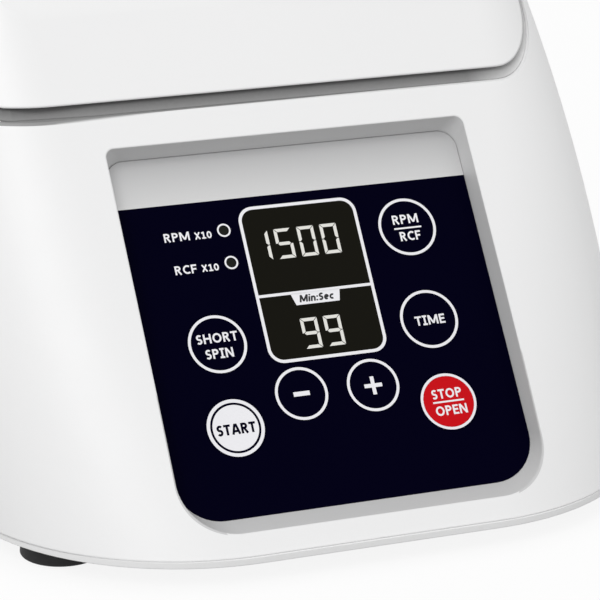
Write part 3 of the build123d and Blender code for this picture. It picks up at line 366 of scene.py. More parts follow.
pale_paint = painted("pale_paint", (0.90, 0.90, 0.90), (0.87, 0.87, 0.872), 0.5)
dress(pale_paint, "base_plate")
print("dressed so far:", len(dressed), "of", len(nodes))


# %% Plated steel
def zinc(name, colour, shade, roughness):
    """Plated steel sheet: faint crystals and fine drawing marks."""
    finish = Finish(name)
    crystals = finish.node(
        "ShaderNodeTexVoronoi", {}, Vector=finish.place, Scale=220.0, out="Color"
    )
    grey = finish.node("ShaderNodeRGBToBW", {}, crystals)
    finish.feed("Metallic", 0.85 + 0.1 * grey)
    finish.feed("Base Color", finish.mix(grey, colour, shade))
    finish.feed("Roughness", roughness + 0.2 * (finish.noise(320.0) - 0.5))
    finish.bump(finish.noise(900.0), distance=0.00004, strength=0.5, edge=0.0003)
    return finish


zinc_sheet = zinc("zinc_sheet", (0.62, 0.63, 0.64), (0.5, 0.51, 0.53), 0.38)
zinc_screw = zinc("zinc_screw", (0.66, 0.66, 0.65), (0.52, 0.52, 0.52), 0.3)
dress(
    zinc_sheet, "motor_bracket", "hinge_bracket_left", "hinge_bracket_right", "hinge_arm_left",
    "hinge_arm_right", "latch_frame_left", "latch_frame_right", "lid_striker_left",
    "lid_striker_right", "heat_sink",
)
dress(zinc_screw, "base_screws", "lid_screws", "motor_posts")
print("dressed so far:", len(dressed), "of", len(nodes))

# %% [markdown]
# ## Chamber, rotor and drive
# The chamber is spun from stainless sheet and the rotor is turned from aluminium, so both
# carry fine rings around the spindle. The rings are a noise that is read only by distance
# from the spindle and by height, which stretches each lump into a circle.

# %% Turned and spun metal
SPINDLE = (0.0, 0.034, 0.0)


def turned(name, colour, shade, roughness, rings, depth):
    """Bare metal off the lathe: rings around the spindle, and a faint stain."""
    finish = Finish(name, Metallic=1.0)
    x = finish.along((1, 0, 0), SPINDLE)
    y = finish.along((0, 1, 0), SPINDLE)
    radius = (x * x + y * y) ** 0.5
    ring_place = finish.node("ShaderNodeCombineXYZ", {}, radius, 0.0, finish.along((0, 0, 1)))
    tool_marks = finish.noise(rings, detail=2.0, place=ring_place)
    stain = finish.noise(30.0)
    finish.feed("Base Color", finish.mix(stain, colour, shade))
    finish.feed("Roughness", roughness + 0.22 * (tool_marks - 0.5) + 0.1 * (stain - 0.5))
    finish.bump(tool_marks, distance=depth, strength=0.5, edge=0.0004)
    return finish


spun_steel = turned(
    "spun_steel", (0.66, 0.66, 0.65), (0.58, 0.58, 0.575), 0.28, rings=1500.0, depth=0.00003
)
anodised = turned(
    "anodised", (0.42, 0.43, 0.45), (0.36, 0.37, 0.39), 0.36, rings=2200.0, depth=0.00003
)
ground_steel = turned(
    "ground_steel", (0.6, 0.6, 0.6), (0.52, 0.52, 0.53), 0.22, rings=3000.0, depth=0.00002
)
motor_paint = painted("motor_paint", (0.03, 0.03, 0.032), (0.045, 0.045, 0.048), 0.4)
dress(spun_steel, "rotor_chamber")
dress(anodised, "rotor", "rotor_knob")
dress(
    ground_steel, "motor_shaft", "hinge_pin_left", "hinge_pin_right", "latch_bolt_left",
    "latch_bolt_right",
)
dress(motor_paint, "drive_motor")
print("dressed so far:", len(dressed), "of", len(nodes))

# %% [markdown]
# ## The panel film
# The panel is a printed film: a silver band across the top, near-black navy below. One film
# covers plate and keys, so plate and keys share this finish, and the colour changes with the
# distance up the slope. Silver ink holds tiny flakes; navy ink is smooth and slightly glossy.
# The band has a painted sheen: it is lighter towards its foot and darker towards its top.

# %% Film over plate and keys
BAND_LOW, BAND_HEIGHT = 35.6, 16.0
NAVY, NAVY_SHEEN = (0.0003, 0.0001, 0.0068), (0.0006, 0.0002, 0.0082)


def panel_film(name):
    """Two inks on one film, parted by a straight line across the panel."""
    finish = Finish(name, Specular_IOR_Level=0.012)
    above_line = finish.along(V, PANEL_ORIGIN / 1000.0) - BAND_LOW / 1000.0
    silver = above_line > 0.0
    flakes = finish.noise(5200.0, detail=2.0, roughness=0.8)
    navy = finish.mix(finish.noise(14.0, detail=2.0), NAVY, NAVY_SHEEN)
    rise = above_line / (BAND_HEIGHT / 1000.0)
    # Painted sheen: the silver is painted lighter towards the band's foot and darker towards its
    # top, with random flakes.
    silver_ink_with_sheen = finish.mix(rise + 0.3 * (flakes - 0.5), (0.66, 0.66, 0.66), (0.51, 0.51, 0.515))
    finish.feed("Base Color", finish.mix(silver, navy, silver_ink_with_sheen))
    finish.feed("Metallic", silver * 0.35)
    finish.feed("Roughness", 0.34 + silver * 0.14 + 0.08 * (flakes - 0.5))
    finish.bump(flakes, distance=0.00001, strength=0.3, edge=0.0002)
    return finish


film = panel_film("panel_film")
KEYS = [
    "key_speed_mode", "key_time", "key_stop_open", "key_short_spin", "key_start", "key_minus",
    "key_plus",
]
dress(film, "front_panel", *KEYS)
print("film on", 1 + len(KEYS), "pieces")

# %% [markdown]
# ## Display window and small parts
# The display looks out through a smoked window with a fine matt film on it. Behind the panel
# and at the rear are ordinary electrical parts: black mouldings, green boards, plated pins.

# %% Window, boards and fittings
smoked = moulded(
    "smoked_window", (0.0088, 0.0083, 0.0058), (0.0098, 0.0092, 0.0066), 0.3, gloss=0.012
)
dark_lens = moulded("dark_lens", (0.010, 0.011, 0.009), (0.016, 0.017, 0.014), 0.2, gloss=0.05)
black_plastic = moulded(
    "black_plastic", (0.016, 0.016, 0.017), (0.022, 0.022, 0.023), 0.45, grain=0.00006, edge=0.0004
)
grey_liner = moulded(
    "grey_liner", (0.36, 0.37, 0.38), (0.32, 0.33, 0.34), 0.5, grain=0.00008, edge=0.0006
)
green_board = painted("green_board", (0.012, 0.12, 0.045), (0.01, 0.09, 0.035), 0.35)
sleeve = moulded(
    "capacitor_sleeve", (0.012, 0.02, 0.07), (0.01, 0.016, 0.055), 0.3, grain=0.00002, edge=0.0003
)
amber_tape = moulded(
    "amber_tape", (0.32, 0.14, 0.02), (0.25, 0.1, 0.015), 0.35, grain=0.00005, edge=0.0003
)
pin_metal = zinc("pin_metal", (0.72, 0.66, 0.52), (0.6, 0.54, 0.42), 0.22)
dress(smoked, "display_window", "digit_module_upper", "digit_module_lower")
dress(dark_lens, "indicator_lamps")
dress(black_plastic, "mains_inlet", "power_switch_frame", "power_rocker", "key_switches")
dress(grey_liner, "lid_liner")
dress(green_board, "control_board", "power_board")
dress(sleeve, "power_capacitors")
dress(amber_tape, "latch_solenoid_left", "latch_solenoid_right")
dress(pin_metal, "inlet_pins")
print("pieces still without a finish:", sorted(set(nodes) - dressed))

# %% [markdown]
# ## White printing
# Rings, lines and words are screen-printed: a layer of ink a few hundredths of a millimetre
# thick. Each mark is therefore a very thin mesh on the film. Flat outlines are filled and
# given that thickness, and a mark on a key rides on the key, so it goes in when it is pressed.

# %% Inks
INK = 0.03
ink_white = moulded("ink_white", (0.88, 0.875, 0.905), (0.86, 0.855, 0.885), 0.45)
ink_navy = moulded("ink_navy", NAVY, NAVY_SHEEN, 0.4, gloss=0.012)
ink_grey = moulded("ink_grey", (0.028, 0.028, 0.03), (0.036, 0.036, 0.038), 0.4, gloss=0.1)
ink_red = moulded("ink_red", (0.62, 0.008, 0.013), (0.58, 0.007, 0.011), 0.42, gloss=0.012)
digit_glow = moulded("digit_glow", (0.80, 0.79, 0.745), (0.78, 0.77, 0.725), 0.5)
print("ink thickness:", INK, "mm")


# %% From an outline to a printed mark
def place_piece(name, mesh, finish, body):
    """Makes a mesh a piece of the scene, in one finish, and lets it ride on its body."""
    mesh.materials.clear()
    mesh.materials.append(finish.material)
    piece = bpy.data.objects.new(name, mesh)
    bpy.context.scene.collection.objects.link(piece)
    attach(piece, body)


def printed(name, loops, finish, body, level=0.0):
    """A flat mark from closed outlines in panel millimetres; inner outlines make holes."""
    curve = bpy.data.curves.new(name, "CURVE")
    curve.dimensions = "2D"
    curve.fill_mode = "BOTH"
    curve.extrude = INK / 2
    for loop in loops:
        spline = curve.splines.new("POLY")
        spline.points.add(len(loop) - 1)
        for point, (u, v) in zip(spline.points, loop):
            point.co = (u, v, 0.0, 1.0)
        spline.use_cyclic_u = True
    flat = bpy.data.objects.new(name + "_outline", curve)
    bpy.context.scene.collection.objects.link(flat)
    bpy.context.view_layer.update()
    filled = flat.evaluated_get(bpy.context.evaluated_depsgraph_get())
    mesh = bpy.data.meshes.new_from_object(filled)
    bpy.data.objects.remove(flat)
    for vertex in mesh.vertices:
        u, v, n = vertex.co
        vertex.co = on_panel(u, v, n + level + INK / 2)
    mesh.name = name
    place_piece(name, mesh, finish, body)


# %% Outlines
def circle(u, v, radius, count=72):
    """The outline of a disc."""
    turns = [2 * math.pi * i / count for i in range(count)]
    return [(u + radius * math.cos(turn), v + radius * math.sin(turn)) for turn in turns]


def rounded_box(left, right, low, high, radius, count=9):
    """The outline of a box with round corners."""
    points = []
    corners = ((right, high, 0), (left, high, 1), (left, low, 2), (right, low, 3))
    for u, v, turn in corners:
        centre_u = u - radius if u == right else u + radius
        centre_v = v - radius if v == high else v + radius
        for i in range(count + 1):
            angle = (turn + i / count) * math.pi / 2
            point = (centre_u + radius * math.cos(angle), centre_v + radius * math.sin(angle))
            points.append(point)
    return points


def bar(u, v, width, height):
    """The outline of a printed line, with its corners just broken."""
    across, up = width / 2, height / 2
    return rounded_box(u - across, u + across, v - up, v + up, radius=0.05, count=1)


print("points on a ring:", len(circle(0.0, 0.0, 1.0)))

# %% [markdown]
# ## Plain lettering
# The words on such a panel are plain upright capitals. Blender's text objects could set them,
# but thickening that font closes the notch of its M. So each letter is drawn here the way a
# sign writer would: as a few strokes of even width, given by their middle lines in a box one
# unit high. Straight strokes are two points, round ones are short runs along an ellipse. Each
# letter's row gives its width and its strokes.

# %% Strokes of the letters
STROKE, LETTER_GAP = 0.19, 0.08
EDGE = STROKE / 2
TOP = 1.0 - EDGE


def bow(x, y, reach, rise, start, stop, count=12):
    """Points on part of an ellipse, between two angles in degrees."""
    angles = [math.radians(start + (stop - start) * i / count) for i in range(count + 1)]
    return [(x + reach * math.cos(a), y + rise * math.sin(a)) for a in angles]


STEM = [(EDGE, 0.0), (EDGE, 1.0)]
LETTERS = {
    "A": (0.72, [
        [(0.08, 0.0), (0.30, TOP), (0.42, TOP), (0.64, 0.0)], [(0.17, 0.3), (0.55, 0.3)],
    ]),
    "C": (0.62, [bow(0.40, 0.5, 0.305, 0.405, 52, 308)]),
    "E": (0.50, [
        STEM, [(EDGE, TOP), (0.5, TOP)], [(EDGE, 0.52), (0.46, 0.52)], [(EDGE, EDGE), (0.5, EDGE)],
    ]),
    "F": (0.49, [STEM, [(EDGE, TOP), (0.49, TOP)], [(EDGE, 0.49), (0.45, 0.49)]]),
    "H": (0.68, [STEM, [(0.585, 0.0), (0.585, 1.0)], [(EDGE, 0.52), (0.585, 0.52)]]),
    "I": (0.38, [
        [(0.19, 0.0), (0.19, 1.0)], [(0.0, 0.93), (0.38, 0.93)], [(0.0, 0.07), (0.38, 0.07)],
    ]),
    "M": (0.88, [
        STEM, [(0.785, 0.0), (0.785, 1.0)], [(0.13, 0.95), (0.41, 0.2), (0.47, 0.2), (0.75, 0.95)],
    ]),
    "N": (0.70, [STEM, [(0.605, 0.0), (0.605, 1.0)], [(0.12, 0.95), (0.58, 0.05)]]),
    "O": (0.78, [bow(0.39, 0.5, 0.295, 0.405, 0, 360, 30)]),
    "P": (0.55, [STEM, [(EDGE, TOP), *bow(0.27, 0.70, 0.185, 0.205, 90, -90), (EDGE, 0.495)]]),
    "R": (0.60, [
        STEM, [(EDGE, TOP), *bow(0.27, 0.71, 0.18, 0.195, 90, -90), (EDGE, 0.515)],
        [(0.27, 0.5), (0.51, 0.0)],
    ]),
    "S": (0.50, [
        bow(0.265, 0.70, 0.17, 0.205, 35, 262) + bow(0.235, 0.30, 0.17, 0.205, 82, -145),
    ]),
    "T": (0.56, [[(0.0, TOP), (0.56, TOP)], [(0.28, 0.0), (0.28, 0.9)]]),
    "X": (0.60, [[(0.08, 0.0), (0.52, 1.0)], [(0.52, 0.0), (0.08, 1.0)]]),
    "0": (0.54, [bow(0.27, 0.5, 0.175, 0.405, 0, 360, 30)]),
    "1": (0.44, [
        [(0.24, 0.0), (0.24, 1.0)], [(0.04, 0.80), (0.24, 0.92)], [(0.04, EDGE), (0.44, EDGE)],
    ]),
    ":": (0.19, [[(EDGE, 0.0), (EDGE, 0.19)], [(EDGE, 0.5), (EDGE, 0.69)]]),
    "c": (0.46, [bow(0.30, 0.36, 0.205, 0.265, 55, 305)]),
    "e": (0.53, [[(0.12, 0.37), (0.44, 0.37)], bow(0.27, 0.36, 0.175, 0.265, 0, 312)]),
    "i": (0.19, [[(EDGE, 0.0), (EDGE, 0.71)], [(EDGE, 0.83), (EDGE, 1.0)]]),
    "n": (0.53, [
        [(EDGE, 0.0), (EDGE, 0.71)], [*bow(0.265, 0.44, 0.17, 0.185, 180, 0), (0.435, 0.0)],
    ]),
}
print("letters:", len(LETTERS))

# %% [markdown]
# ## From strokes to words
# A stroke becomes a ribbon: its middle line is shifted to both sides by half its width, and
# given the ink's thickness. At a bend the shift grows, so the ribbon stays even, up to twice
# its size at a sharp one. Where two strokes of one letter cross, the later one is a hair
# thicker, so their top faces never lie in the same plane, which would make them flicker.

# %% From a middle line to two edges
SAME_POINT, SHARPEST = 1e-6, 0.5


def sides(points, width):
    """The two edges of a stroke of even width along its middle line."""
    closed = math.dist(points[0], points[-1]) < SAME_POINT
    befores = [points[-2] if closed else None, *points[:-1]]
    afters = [*points[1:], points[1] if closed else None]
    left, right = [], []
    for before, here, after in zip(befores, points, afters):
        pairs = [(a, b) for a, b in ((before, here), (here, after)) if a and b]
        runs = [(Vector(b) - Vector(a)).normalized() for a, b in pairs]
        forward = sum(runs, Vector((0.0, 0.0))).normalized()
        reach = width / 2 / max(forward.dot(runs[0]), SHARPEST)
        shift = Vector((-forward.y, forward.x)) * reach
        left.append(Vector(here) + shift)
        right.append(Vector(here) - shift)
    return left, right


print("edges of an upright stroke:", sides([(0.0, 0.0), (0.0, 1.0)], STROKE))

# %% From edges to ribbons and words
HAIR_OF_INK = 0.002


def ribbon(bm, left, right, bottom, top):
    """A closed band between two edges, from one height above the film to another."""
    rims = [
        [bm.verts.new(on_panel(a.x, a.y, n)), bm.verts.new(on_panel(b.x, b.y, n))]
        for a, b in zip(left, right) for n in (bottom, top)
    ]
    for i in range(0, len(rims) - 2, 2):
        low, high, next_low, next_high = rims[i:i + 4]
        bm.faces.new((high[0], next_high[0], next_high[1], high[1]))
        bm.faces.new((low[0], low[1], next_low[1], next_low[0]))
        bm.faces.new((low[0], next_low[0], next_high[0], high[0]))
        bm.faces.new((low[1], high[1], next_high[1], next_low[1]))
    for low, high in (rims[:2], rims[-2:]):
        bm.faces.new((low[0], high[0], high[1], low[1]))


def words(name, text, u, v, width, height, finish, body, level=0.0, weight=1.0, slant=0.0):
    """Printed words, fitted to a width and a capital height in millimetres.

    The strokes are thicker by weight, and the letters lean by slant for each unit of height.
    """
    run = sum(LETTERS[letter][0] for letter in text) + LETTER_GAP * (len(text) - 1)
    stretch = width / run
    bm = bmesh.new()
    start = 0.0
    for letter in text:
        advance, strokes = LETTERS[letter]
        for order, stroke in enumerate(strokes):
            line = [
                (u - width / 2 + (start + x) * stretch + slant * (y - 0.5) * height,
                 v - height / 2 + y * height)
                for x, y in stroke
            ]
            left, right = sides(line, STROKE * height * weight)
            ribbon(bm, left, right, level, level + INK + HAIR_OF_INK * order)
        start += advance + LETTER_GAP
    bmesh.ops.recalc_face_normals(bm, faces=bm.faces)
    mesh = bpy.data.meshes.new(name)
    bm.to_mesh(mesh)
    bm.free()
    place_piece(name, mesh, finish, body)


print("stroke width of a 3 mm capital:", round(3 * STROKE, 2), "mm")

# %% [markdown]
# ## The strip that closes the gutter
# Between the lid's rim and the housing's deck there is a gutter a few millimetres high. A
# strip of grey foam, bonded to the lid's rim, closes it, so no light or spill gets in. It
# leans back with the front, follows the lid's round corners and goes up with the lid. It is
# built station by station: at each one, it is cut across, from the housing to the lid. Its
# face is set a little back from the front, and it stays clear of lid and deck by a hair.

# %% Where the strip runs
SET_BACK, THICK, HAIR, OFF_DECK = 1.9, 1.2, 0.05, 0.01
FLAT_RUN = (-86.0, -60.0, 0.0, 60.0, 75.0)
SIDE_RUN = (146.0, 150.0)
CORNER_STEPS = 12


def strip_station(inner, outer):
    """One cut through the strip, between the lid and the housing, in metres."""
    corners = []
    for (x, z), depths in ((outer, (0.0, THICK)), (inner, (THICK, 0.0))):
        face = front_at(x, z) + SET_BACK
        corners += [(x / 1000.0, (face + depth) / 1000.0, z / 1000.0) for depth in depths]
    return corners


def strip_corner(side, lid_radius):
    """The strip around one lower corner of the lid, and a little way up the lid's side."""
    turn_at = LID_HALF - lid_radius
    near, far = lid_radius + HAIR, lid_radius + SIDE_GAP - HAIR
    lid_centre, deck_centre = RIM + lid_radius, DECK + lid_radius + SIDE_GAP
    places = []
    for step in range(CORNER_STEPS + 1):
        angle = math.radians(90.0 * step / CORNER_STEPS)
        out, drop = math.sin(angle), math.cos(angle)
        inner = (side * (turn_at + near * out), lid_centre - near * drop)
        outer = (side * (turn_at + far * out), deck_centre - far * drop)
        places.append(strip_station(inner, outer))
    for z in SIDE_RUN:
        places.append(strip_station((side * (turn_at + near), z), (side * (turn_at + far), z)))
    return places


stations = strip_corner(-1, CORNER_LEFT)[::-1]
stations += [strip_station((x, RIM - HAIR), (x, DECK + OFF_DECK)) for x in FLAT_RUN]
stations += strip_corner(1, CORNER_RIGHT)
print("gutter strip:", len(stations), "stations")

# %% [markdown]
# ## The strip's mesh and its foam
# Each station is a loop of four points, and faces join every loop to the next. The foam's
# colour is painted shade, darkest near the lid and paler towards the housing, and painted light
# at the right end, where the gutter opens. How near a place is to the lid follows from the lid's
# outline.

# %% Mesh of the strip
bm = bmesh.new()
rings = [[bm.verts.new(corner) for corner in station] for station in stations]
for one, other in zip(rings, rings[1:]):
    for i in range(4):
        bm.faces.new((one[i], one[i - 3], other[i - 3], other[i]))
bm.faces.new(rings[0])
bm.faces.new(rings[-1])
bmesh.ops.recalc_face_normals(bm, faces=bm.faces)
strip_mesh = bpy.data.meshes.new("gutter_strip")
bm.to_mesh(strip_mesh)
bm.free()
print("gutter strip:", len(strip_mesh.polygons), "faces")

# %% Foam
END_LIGHT_FROM, END_LIGHT_OVER = 66.0, 22.0
foam = rubber("gutter_foam", (0.30, 0.30, 0.30), (0.34, 0.34, 0.34))


def from_lid(side, lid_radius):
    """How far a place is from the lid's rim, with the corner on one side rounded."""
    centre = (side * (LID_HALF - lid_radius) / 1000.0, 0.0, (RIM + lid_radius) / 1000.0)
    past = foam.along((side, 0, 0), centre).at_least(0.0)
    drop = foam.along((0, 0, -1), centre).at_least(0.0)
    return (past * past + drop * drop) ** 0.5 - lid_radius / 1000.0


off_lid = from_lid(-1, CORNER_LEFT).at_least(from_lid(1, CORNER_RIGHT))
lid_shade_ramp = off_lid / ((RIM - DECK) / 1000.0) + 0.15 * (foam.noise(900.0) - 0.5)
end_light_ramp = (foam.along((1, 0, 0)) - END_LIGHT_FROM / 1000.0) / (END_LIGHT_OVER / 1000.0)
# Painted shade: near the lid the foam is painted 0.11, paler towards the housing; towards the
# right end it is painted light, up to 0.85.
grey = foam.mix(lid_shade_ramp, (0.11, 0.11, 0.11), (0.28, 0.28, 0.28))
painted_light_at_end = foam.mix(lid_shade_ramp, (0.40, 0.40, 0.40), (0.85, 0.85, 0.85))
foam.feed("Base Color", foam.mix(end_light_ramp, grey, painted_light_at_end))
place_piece("gutter_strip", strip_mesh, foam, "lid")
print("gutter strip rides on the lid, in", foam.material.name)

# %% [markdown]
# ## Marks on the seven keys
# Each key has a white ring just inside its edge. Two keys are filled: a red one that stops
# the run and opens the lid, and a white one that starts it. The words say what each key does,
# and the keys for less and more have signs. A mark on top of a fill lies one ink layer higher.

# %% Key marks
LINE, DIVIDING_LINE = 0.9, 0.55
CAPITAL = 3.1
STOP_KEY, START_KEY = (35.1, -38.7), (-35.3, -38.25)


def ring(name, u, v, radius, body, line=LINE):
    """A printed ring: a disc with a smaller disc as its hole."""
    loops = [circle(u, v, radius + line / 2), circle(u, v, radius - line / 2)]
    printed(name, loops, ink_white, body)


ring("ring_speed_mode", 35.5, 20.1, 9.2, "key_speed_mode")
words("word_rpm", "RPM", 35.35, 22.75, 8.9, CAPITAL, ink_white, "key_speed_mode")
printed("line_speed_mode", [bar(35.6, 19.75, 9.3, DIVIDING_LINE)], ink_white, "key_speed_mode")
words("word_rcf", "RCF", 35.8, 17.0, 7.1, CAPITAL, ink_white, "key_speed_mode")

ring("ring_time", 35.3, -11.2, 9.2, "key_time")
words("word_time", "TIME", 35.5, -11.5, 10.1, CAPITAL, ink_white, "key_time")

printed("fill_stop", [circle(*STOP_KEY, 8.4)], ink_red, "key_stop_open")
ring("ring_stop", *STOP_KEY, 8.76, "key_stop_open")
words("word_stop", "STOP", 35.0, -36.0, 10.1, CAPITAL, ink_white, "key_stop_open", INK)
printed("line_stop", [bar(35.1, -38.65, 10.5, DIVIDING_LINE)], ink_white, "key_stop_open", INK)
words("word_open", "OPEN", 35.4, -41.5, 10.7, CAPITAL, ink_white, "key_stop_open", INK)

ring("ring_short_spin", -35.2, -11.1, 8.95, "key_short_spin")
words("word_short", "SHORT", -35.0, -9.05, 13.4, CAPITAL, ink_white, "key_short_spin")
words("word_spin", "SPIN", -35.2, -14.1, 9.1, CAPITAL, ink_white, "key_short_spin")

ring("ring_start", *START_KEY, 8.64, "key_start", line=1.08)
printed("fill_start", [circle(*START_KEY, 7.36)], ink_white, "key_start")
words("word_start", "START", -35.2, -38.6, 12.5, 3.35, ink_navy, "key_start", INK, weight=1.15)

# %% Signs for less and more
ARM, REACH = 0.62, 2.95
PLUS = [
    (-ARM, -REACH), (ARM, -REACH), (ARM, -ARM), (REACH, -ARM), (REACH, ARM), (ARM, ARM),
    (ARM, REACH), (-ARM, REACH), (-ARM, ARM), (-REACH, ARM), (-REACH, -ARM), (-ARM, -ARM),
]
ring("ring_minus", -12.0, -30.1, 8.1, "key_minus")
printed("sign_minus", [bar(-12.0, -30.15, 5.3, 1.45)], ink_white, "key_minus")
ring("ring_plus", 11.7, -30.3, 8.1, "key_plus")
printed("sign_plus", [[(u + 11.7, v - 30.45) for u, v in PLUS]], ink_white, "key_plus")

# %% [markdown]
# ## The display's frame and labels
# A white line frames the window and divides it in two: speed above, time below, with a small
# tab that names the lower field. To the left, two lamps tell how the speed is shown.

# %% Frame, divider and tab
LEFT, RIGHT, LOW, HIGH = -19.2, 19.2, -19.25, 31.8
FRAME_LINE, ROUND_OUTSIDE, ROUND_INSIDE = 1.02, 5.0, 4.0
DIVIDER, DIVIDER_LINE, DIVIDER_SHORTER = 2.5, 0.92, 1.0
TAB = [(-8.3, 2.2), (8.1, 2.2), (7.3, -1.65), (-7.1, -1.65)]
half = FRAME_LINE / 2
outside = rounded_box(LEFT - half, RIGHT + half, LOW - half, HIGH + half, ROUND_OUTSIDE)
inside = rounded_box(LEFT + half, RIGHT - half, LOW + half, HIGH - half, ROUND_INSIDE)
divider = bar(0.0, DIVIDER, RIGHT - LEFT - DIVIDER_SHORTER, DIVIDER_LINE)
printed("display_frame", [outside, inside], ink_white, "housing")
printed("display_divider", [divider], ink_white, "housing", INK)
printed("display_tab", [TAB], ink_white, "housing", INK)
words(
    "word_min_sec", "Min:Sec", 0.05, 0.35, 11.3, 2.35, ink_grey, "housing", 2 * INK, weight=1.28,
    slant=0.2,
)
print("frame:", round(RIGHT - LEFT, 1), "x", round(HIGH - LOW, 1), "mm")

# %% Lamp rings and labels
LAMPS = [(-25.1, 25.5), (-25.0, 14.7)]
LABEL, FACTOR = 2.9, 2.3
for row, (u, v) in enumerate(LAMPS):
    ring(f"lamp_ring_{row}", u, v, 1.93, "housing", line=0.55)
words("word_rpm_label", "RPM", -40.7, 24.9, 8.5, LABEL, ink_white, "housing")
words("word_rpm_factor", "X10", -32.1, 24.6, 5.7, FACTOR, ink_white, "housing", weight=1.1)
words("word_rcf_label", "RCF", -40.1, 14.0, 7.2, LABEL, ink_white, "housing")
words("word_rcf_factor", "X10", -32.1, 13.8, 5.7, FACTOR, ink_white, "housing", weight=1.1)
print("lamps:", len(LAMPS))

# %% [markdown]
# ## Seven-segment figures
# Each figure is built from up to seven bars with mitred ends and a hair of space between
# them. Unlit bars stay invisible behind the smoked window, so only the lit ones are made.

# %% Figures
SEGMENTS = {"0": "abcdef", "1": "bc", "5": "acdfg", "9": "abcdfg"}
FIGURE_WIDE, FIGURE_HIGH = 5.6, 10.0
SEGMENT, SPACE = 1.06, 0.14


def segment(letter, w, h, t, g):
    """One bar of a figure w wide and h high, its bars t thick and g apart, from its corner."""
    m = h / 2
    shapes = {
        "a": [(g, h), (w - g, h), (w - t - g, h - t), (t + g, h - t)],
        "d": [(g, 0), (t + g, t), (w - t - g, t), (w - g, 0)],
        "g": [
            (t / 2 + g, m), (t + g, m + t / 2), (w - t - g, m + t / 2), (w - t / 2 - g, m),
            (w - t - g, m - t / 2), (t + g, m - t / 2),
        ],
        "f": [(0, h - g), (0, m + g), (t / 2, m + g), (t, m + t / 2 + g), (t, h - t - g)],
        "b": [
            (w, h - g), (w - t, h - t - g), (w - t, m + t / 2 + g), (w - t / 2, m + g), (w, m + g),
        ],
        "e": [(0, g), (t, t + g), (t, m - t / 2 - g), (t / 2, m - g), (0, m - g)],
        "c": [(w, g), (w, m - g), (w - t / 2, m - g), (w - t, m - t / 2 - g), (w - t, t + g)],
    }
    return shapes[letter]


def figures(name, digits, left, low, pitch):
    """A row of lit figures, from the corner of the first, one pitch after another."""
    for place, digit in enumerate(digits):
        corner = left + pitch * place
        lit = [
            segment(letter, FIGURE_WIDE, FIGURE_HIGH, SEGMENT, SPACE) for letter in SEGMENTS[digit]
        ]
        loops = [[(corner + x, low + y) for x, y in outline] for outline in lit]
        printed(f"{name}_{place}", loops, digit_glow, "housing")


figures("speed_figure", "1500", -16.8, 14.05, 7.68)
figures("time_figure", "99", -7.2, -16.1, 7.65)

# %% [markdown]
# ## Camera
# The portrait is a close-up of the panel and the lid's edge, from the left by 21 degrees and
# from above by 18. A long lens from about a metre away keeps the machine's edges nearly
# parallel. The camera's own axes are written out, since a matrix of them turns it exactly. A
# Blender camera looks along its own minus z, so its z axis points backwards.

# %% Camera
LENS, SENSOR = 180.35, 36.0
NEAREST, FARTHEST = 0.05, 30.0
CAMERA_PLACE = Vector((-0.3245, -0.9176, 0.3537))
RIGHTWARD = Vector((0.9336, -0.3584, 0.0002))
DOWNWARD = Vector((-0.1091, -0.2848, -0.9524))
AHEAD = Vector((0.3414, 0.8891, -0.3050))
camera_data = bpy.data.cameras.new("portrait_camera")
camera_data.lens = LENS
camera_data.sensor_width = SENSOR
camera_data.clip_start = NEAREST
camera_data.clip_end = FARTHEST
camera = bpy.data.objects.new("portrait_camera", camera_data)
bpy.context.scene.collection.objects.link(camera)
turn = Matrix((RIGHTWARD, -DOWNWARD, -AHEAD)).transposed().to_4x4()
camera.matrix_world = Matrix.Translation(CAMERA_PLACE) @ turn
bpy.context.scene.camera = camera
print("camera at", [round(x, 3) for x in camera.location])

# %% [markdown]
# ## Room and lamp
# The light is plain and soft: a bright even room, and one large round lamp up and to the left
# for gentle shading. The room is white to the camera, to reflections and through clear pieces,
# and three quarters as bright as a light, so the background comes out white and yet colours on
# the machine render about as they are written. A Light Path node tells which ray is asking.

# %% Room
scene = bpy.context.scene
scene.view_settings.view_transform = "Standard"
world = bpy.data.worlds.new("white_room")
scene.world = world
world.use_nodes = True
AMBIENT = 0.75


def seen_directly(tree):
    """1 where the camera, a reflection or a clear piece looks straight at a surface."""
    camera_ray, glossy_ray, clear_ray = (
        add_node(tree, "ShaderNodeLightPath", {}, out=ray)
        for ray in ("Is Camera Ray", "Is Glossy Ray", "Is Transmission Ray")
    )
    return camera_ray.at_least(glossy_ray).at_least(clear_ray)


tree = world.node_tree
background = tree.nodes["Background"]
plug(tree, background.inputs["Color"], (1.0, 1.0, 1.0))
plug(tree, background.inputs["Strength"], AMBIENT + seen_directly(tree) * (1.0 - AMBIENT))
print("ambient:", AMBIENT)

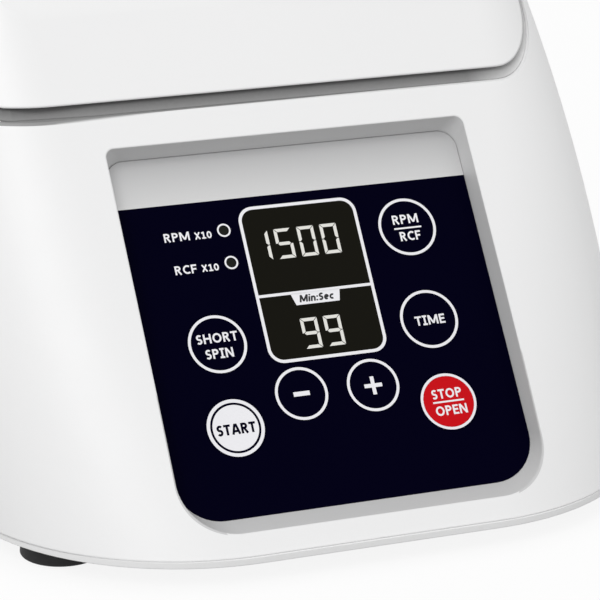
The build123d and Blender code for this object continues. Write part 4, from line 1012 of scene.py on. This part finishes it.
# %% Lamp
LAMP_PLACE, LAMP_TARGET = Vector((-1.3, -1.5, 2.0)), Vector((0.0, 0.0, 0.08))
LAMP_SIZE, LAMP_POWER = 1.4, 24.2
lamp_data = bpy.data.lights.new("key_lamp", "AREA")
lamp_data.shape = "DISK"
lamp_data.size = LAMP_SIZE
lamp_data.energy = LAMP_POWER
lamp = bpy.data.objects.new("key_lamp", lamp_data)
scene.collection.objects.link(lamp)
lamp.location = LAMP_PLACE
lamp.rotation_euler = (LAMP_TARGET - LAMP_PLACE).to_track_quat("-Z", "Y").to_euler()
print("lamp at", [round(x, 2) for x in lamp.location])

# %% [markdown]
# ## Floor
# The machine stands on a wide sheet of pale paper. The paper is white where it is seen, and
# grey to the light that bounces, so it throws little light back up under the edges. A share
# of plain white light is mixed in where it is seen, which leaves a faint shadow of the machine.

# %% Floor
FLOOR_HALF, FLOOR_DROP = 6.0, 0.0002
PLAIN_LIGHT = 0.88
bm = bmesh.new()
bmesh.ops.create_grid(bm, x_segments=2, y_segments=2, size=FLOOR_HALF)
floor_mesh = bpy.data.meshes.new("studio_floor")
bm.to_mesh(floor_mesh)
bm.free()
floor = bpy.data.objects.new("studio_floor", floor_mesh)
floor.location.z = -FLOOR_DROP
scene.collection.objects.link(floor)
print("floor:", 2 * FLOOR_HALF, "m wide")

# %% Paper that glows where it is seen
paper = Finish("floor_paper", Roughness=0.9, Specular_IOR_Level=0.1)
seen = seen_directly(paper.tree)
paper.feed("Base Color", paper.mix(seen, (0.45, 0.45, 0.45), (0.92, 0.92, 0.92)))
lit_paper = Wire(paper.tree, paper.shader.outputs[0])
glow = paper.node("ShaderNodeEmission", {}, (1.0, 1.0, 1.0), 1.0)
glowing_paper = paper.node("ShaderNodeMixShader", {}, seen * PLAIN_LIGHT, lit_paper, glow)
plug(paper.tree, paper.tree.nodes["Material Output"].inputs["Surface"], glowing_paper)
floor_mesh.materials.append(paper.material)
print("plain light in the floor:", PLAIN_LIGHT)

# %% [markdown]
# ## Finish
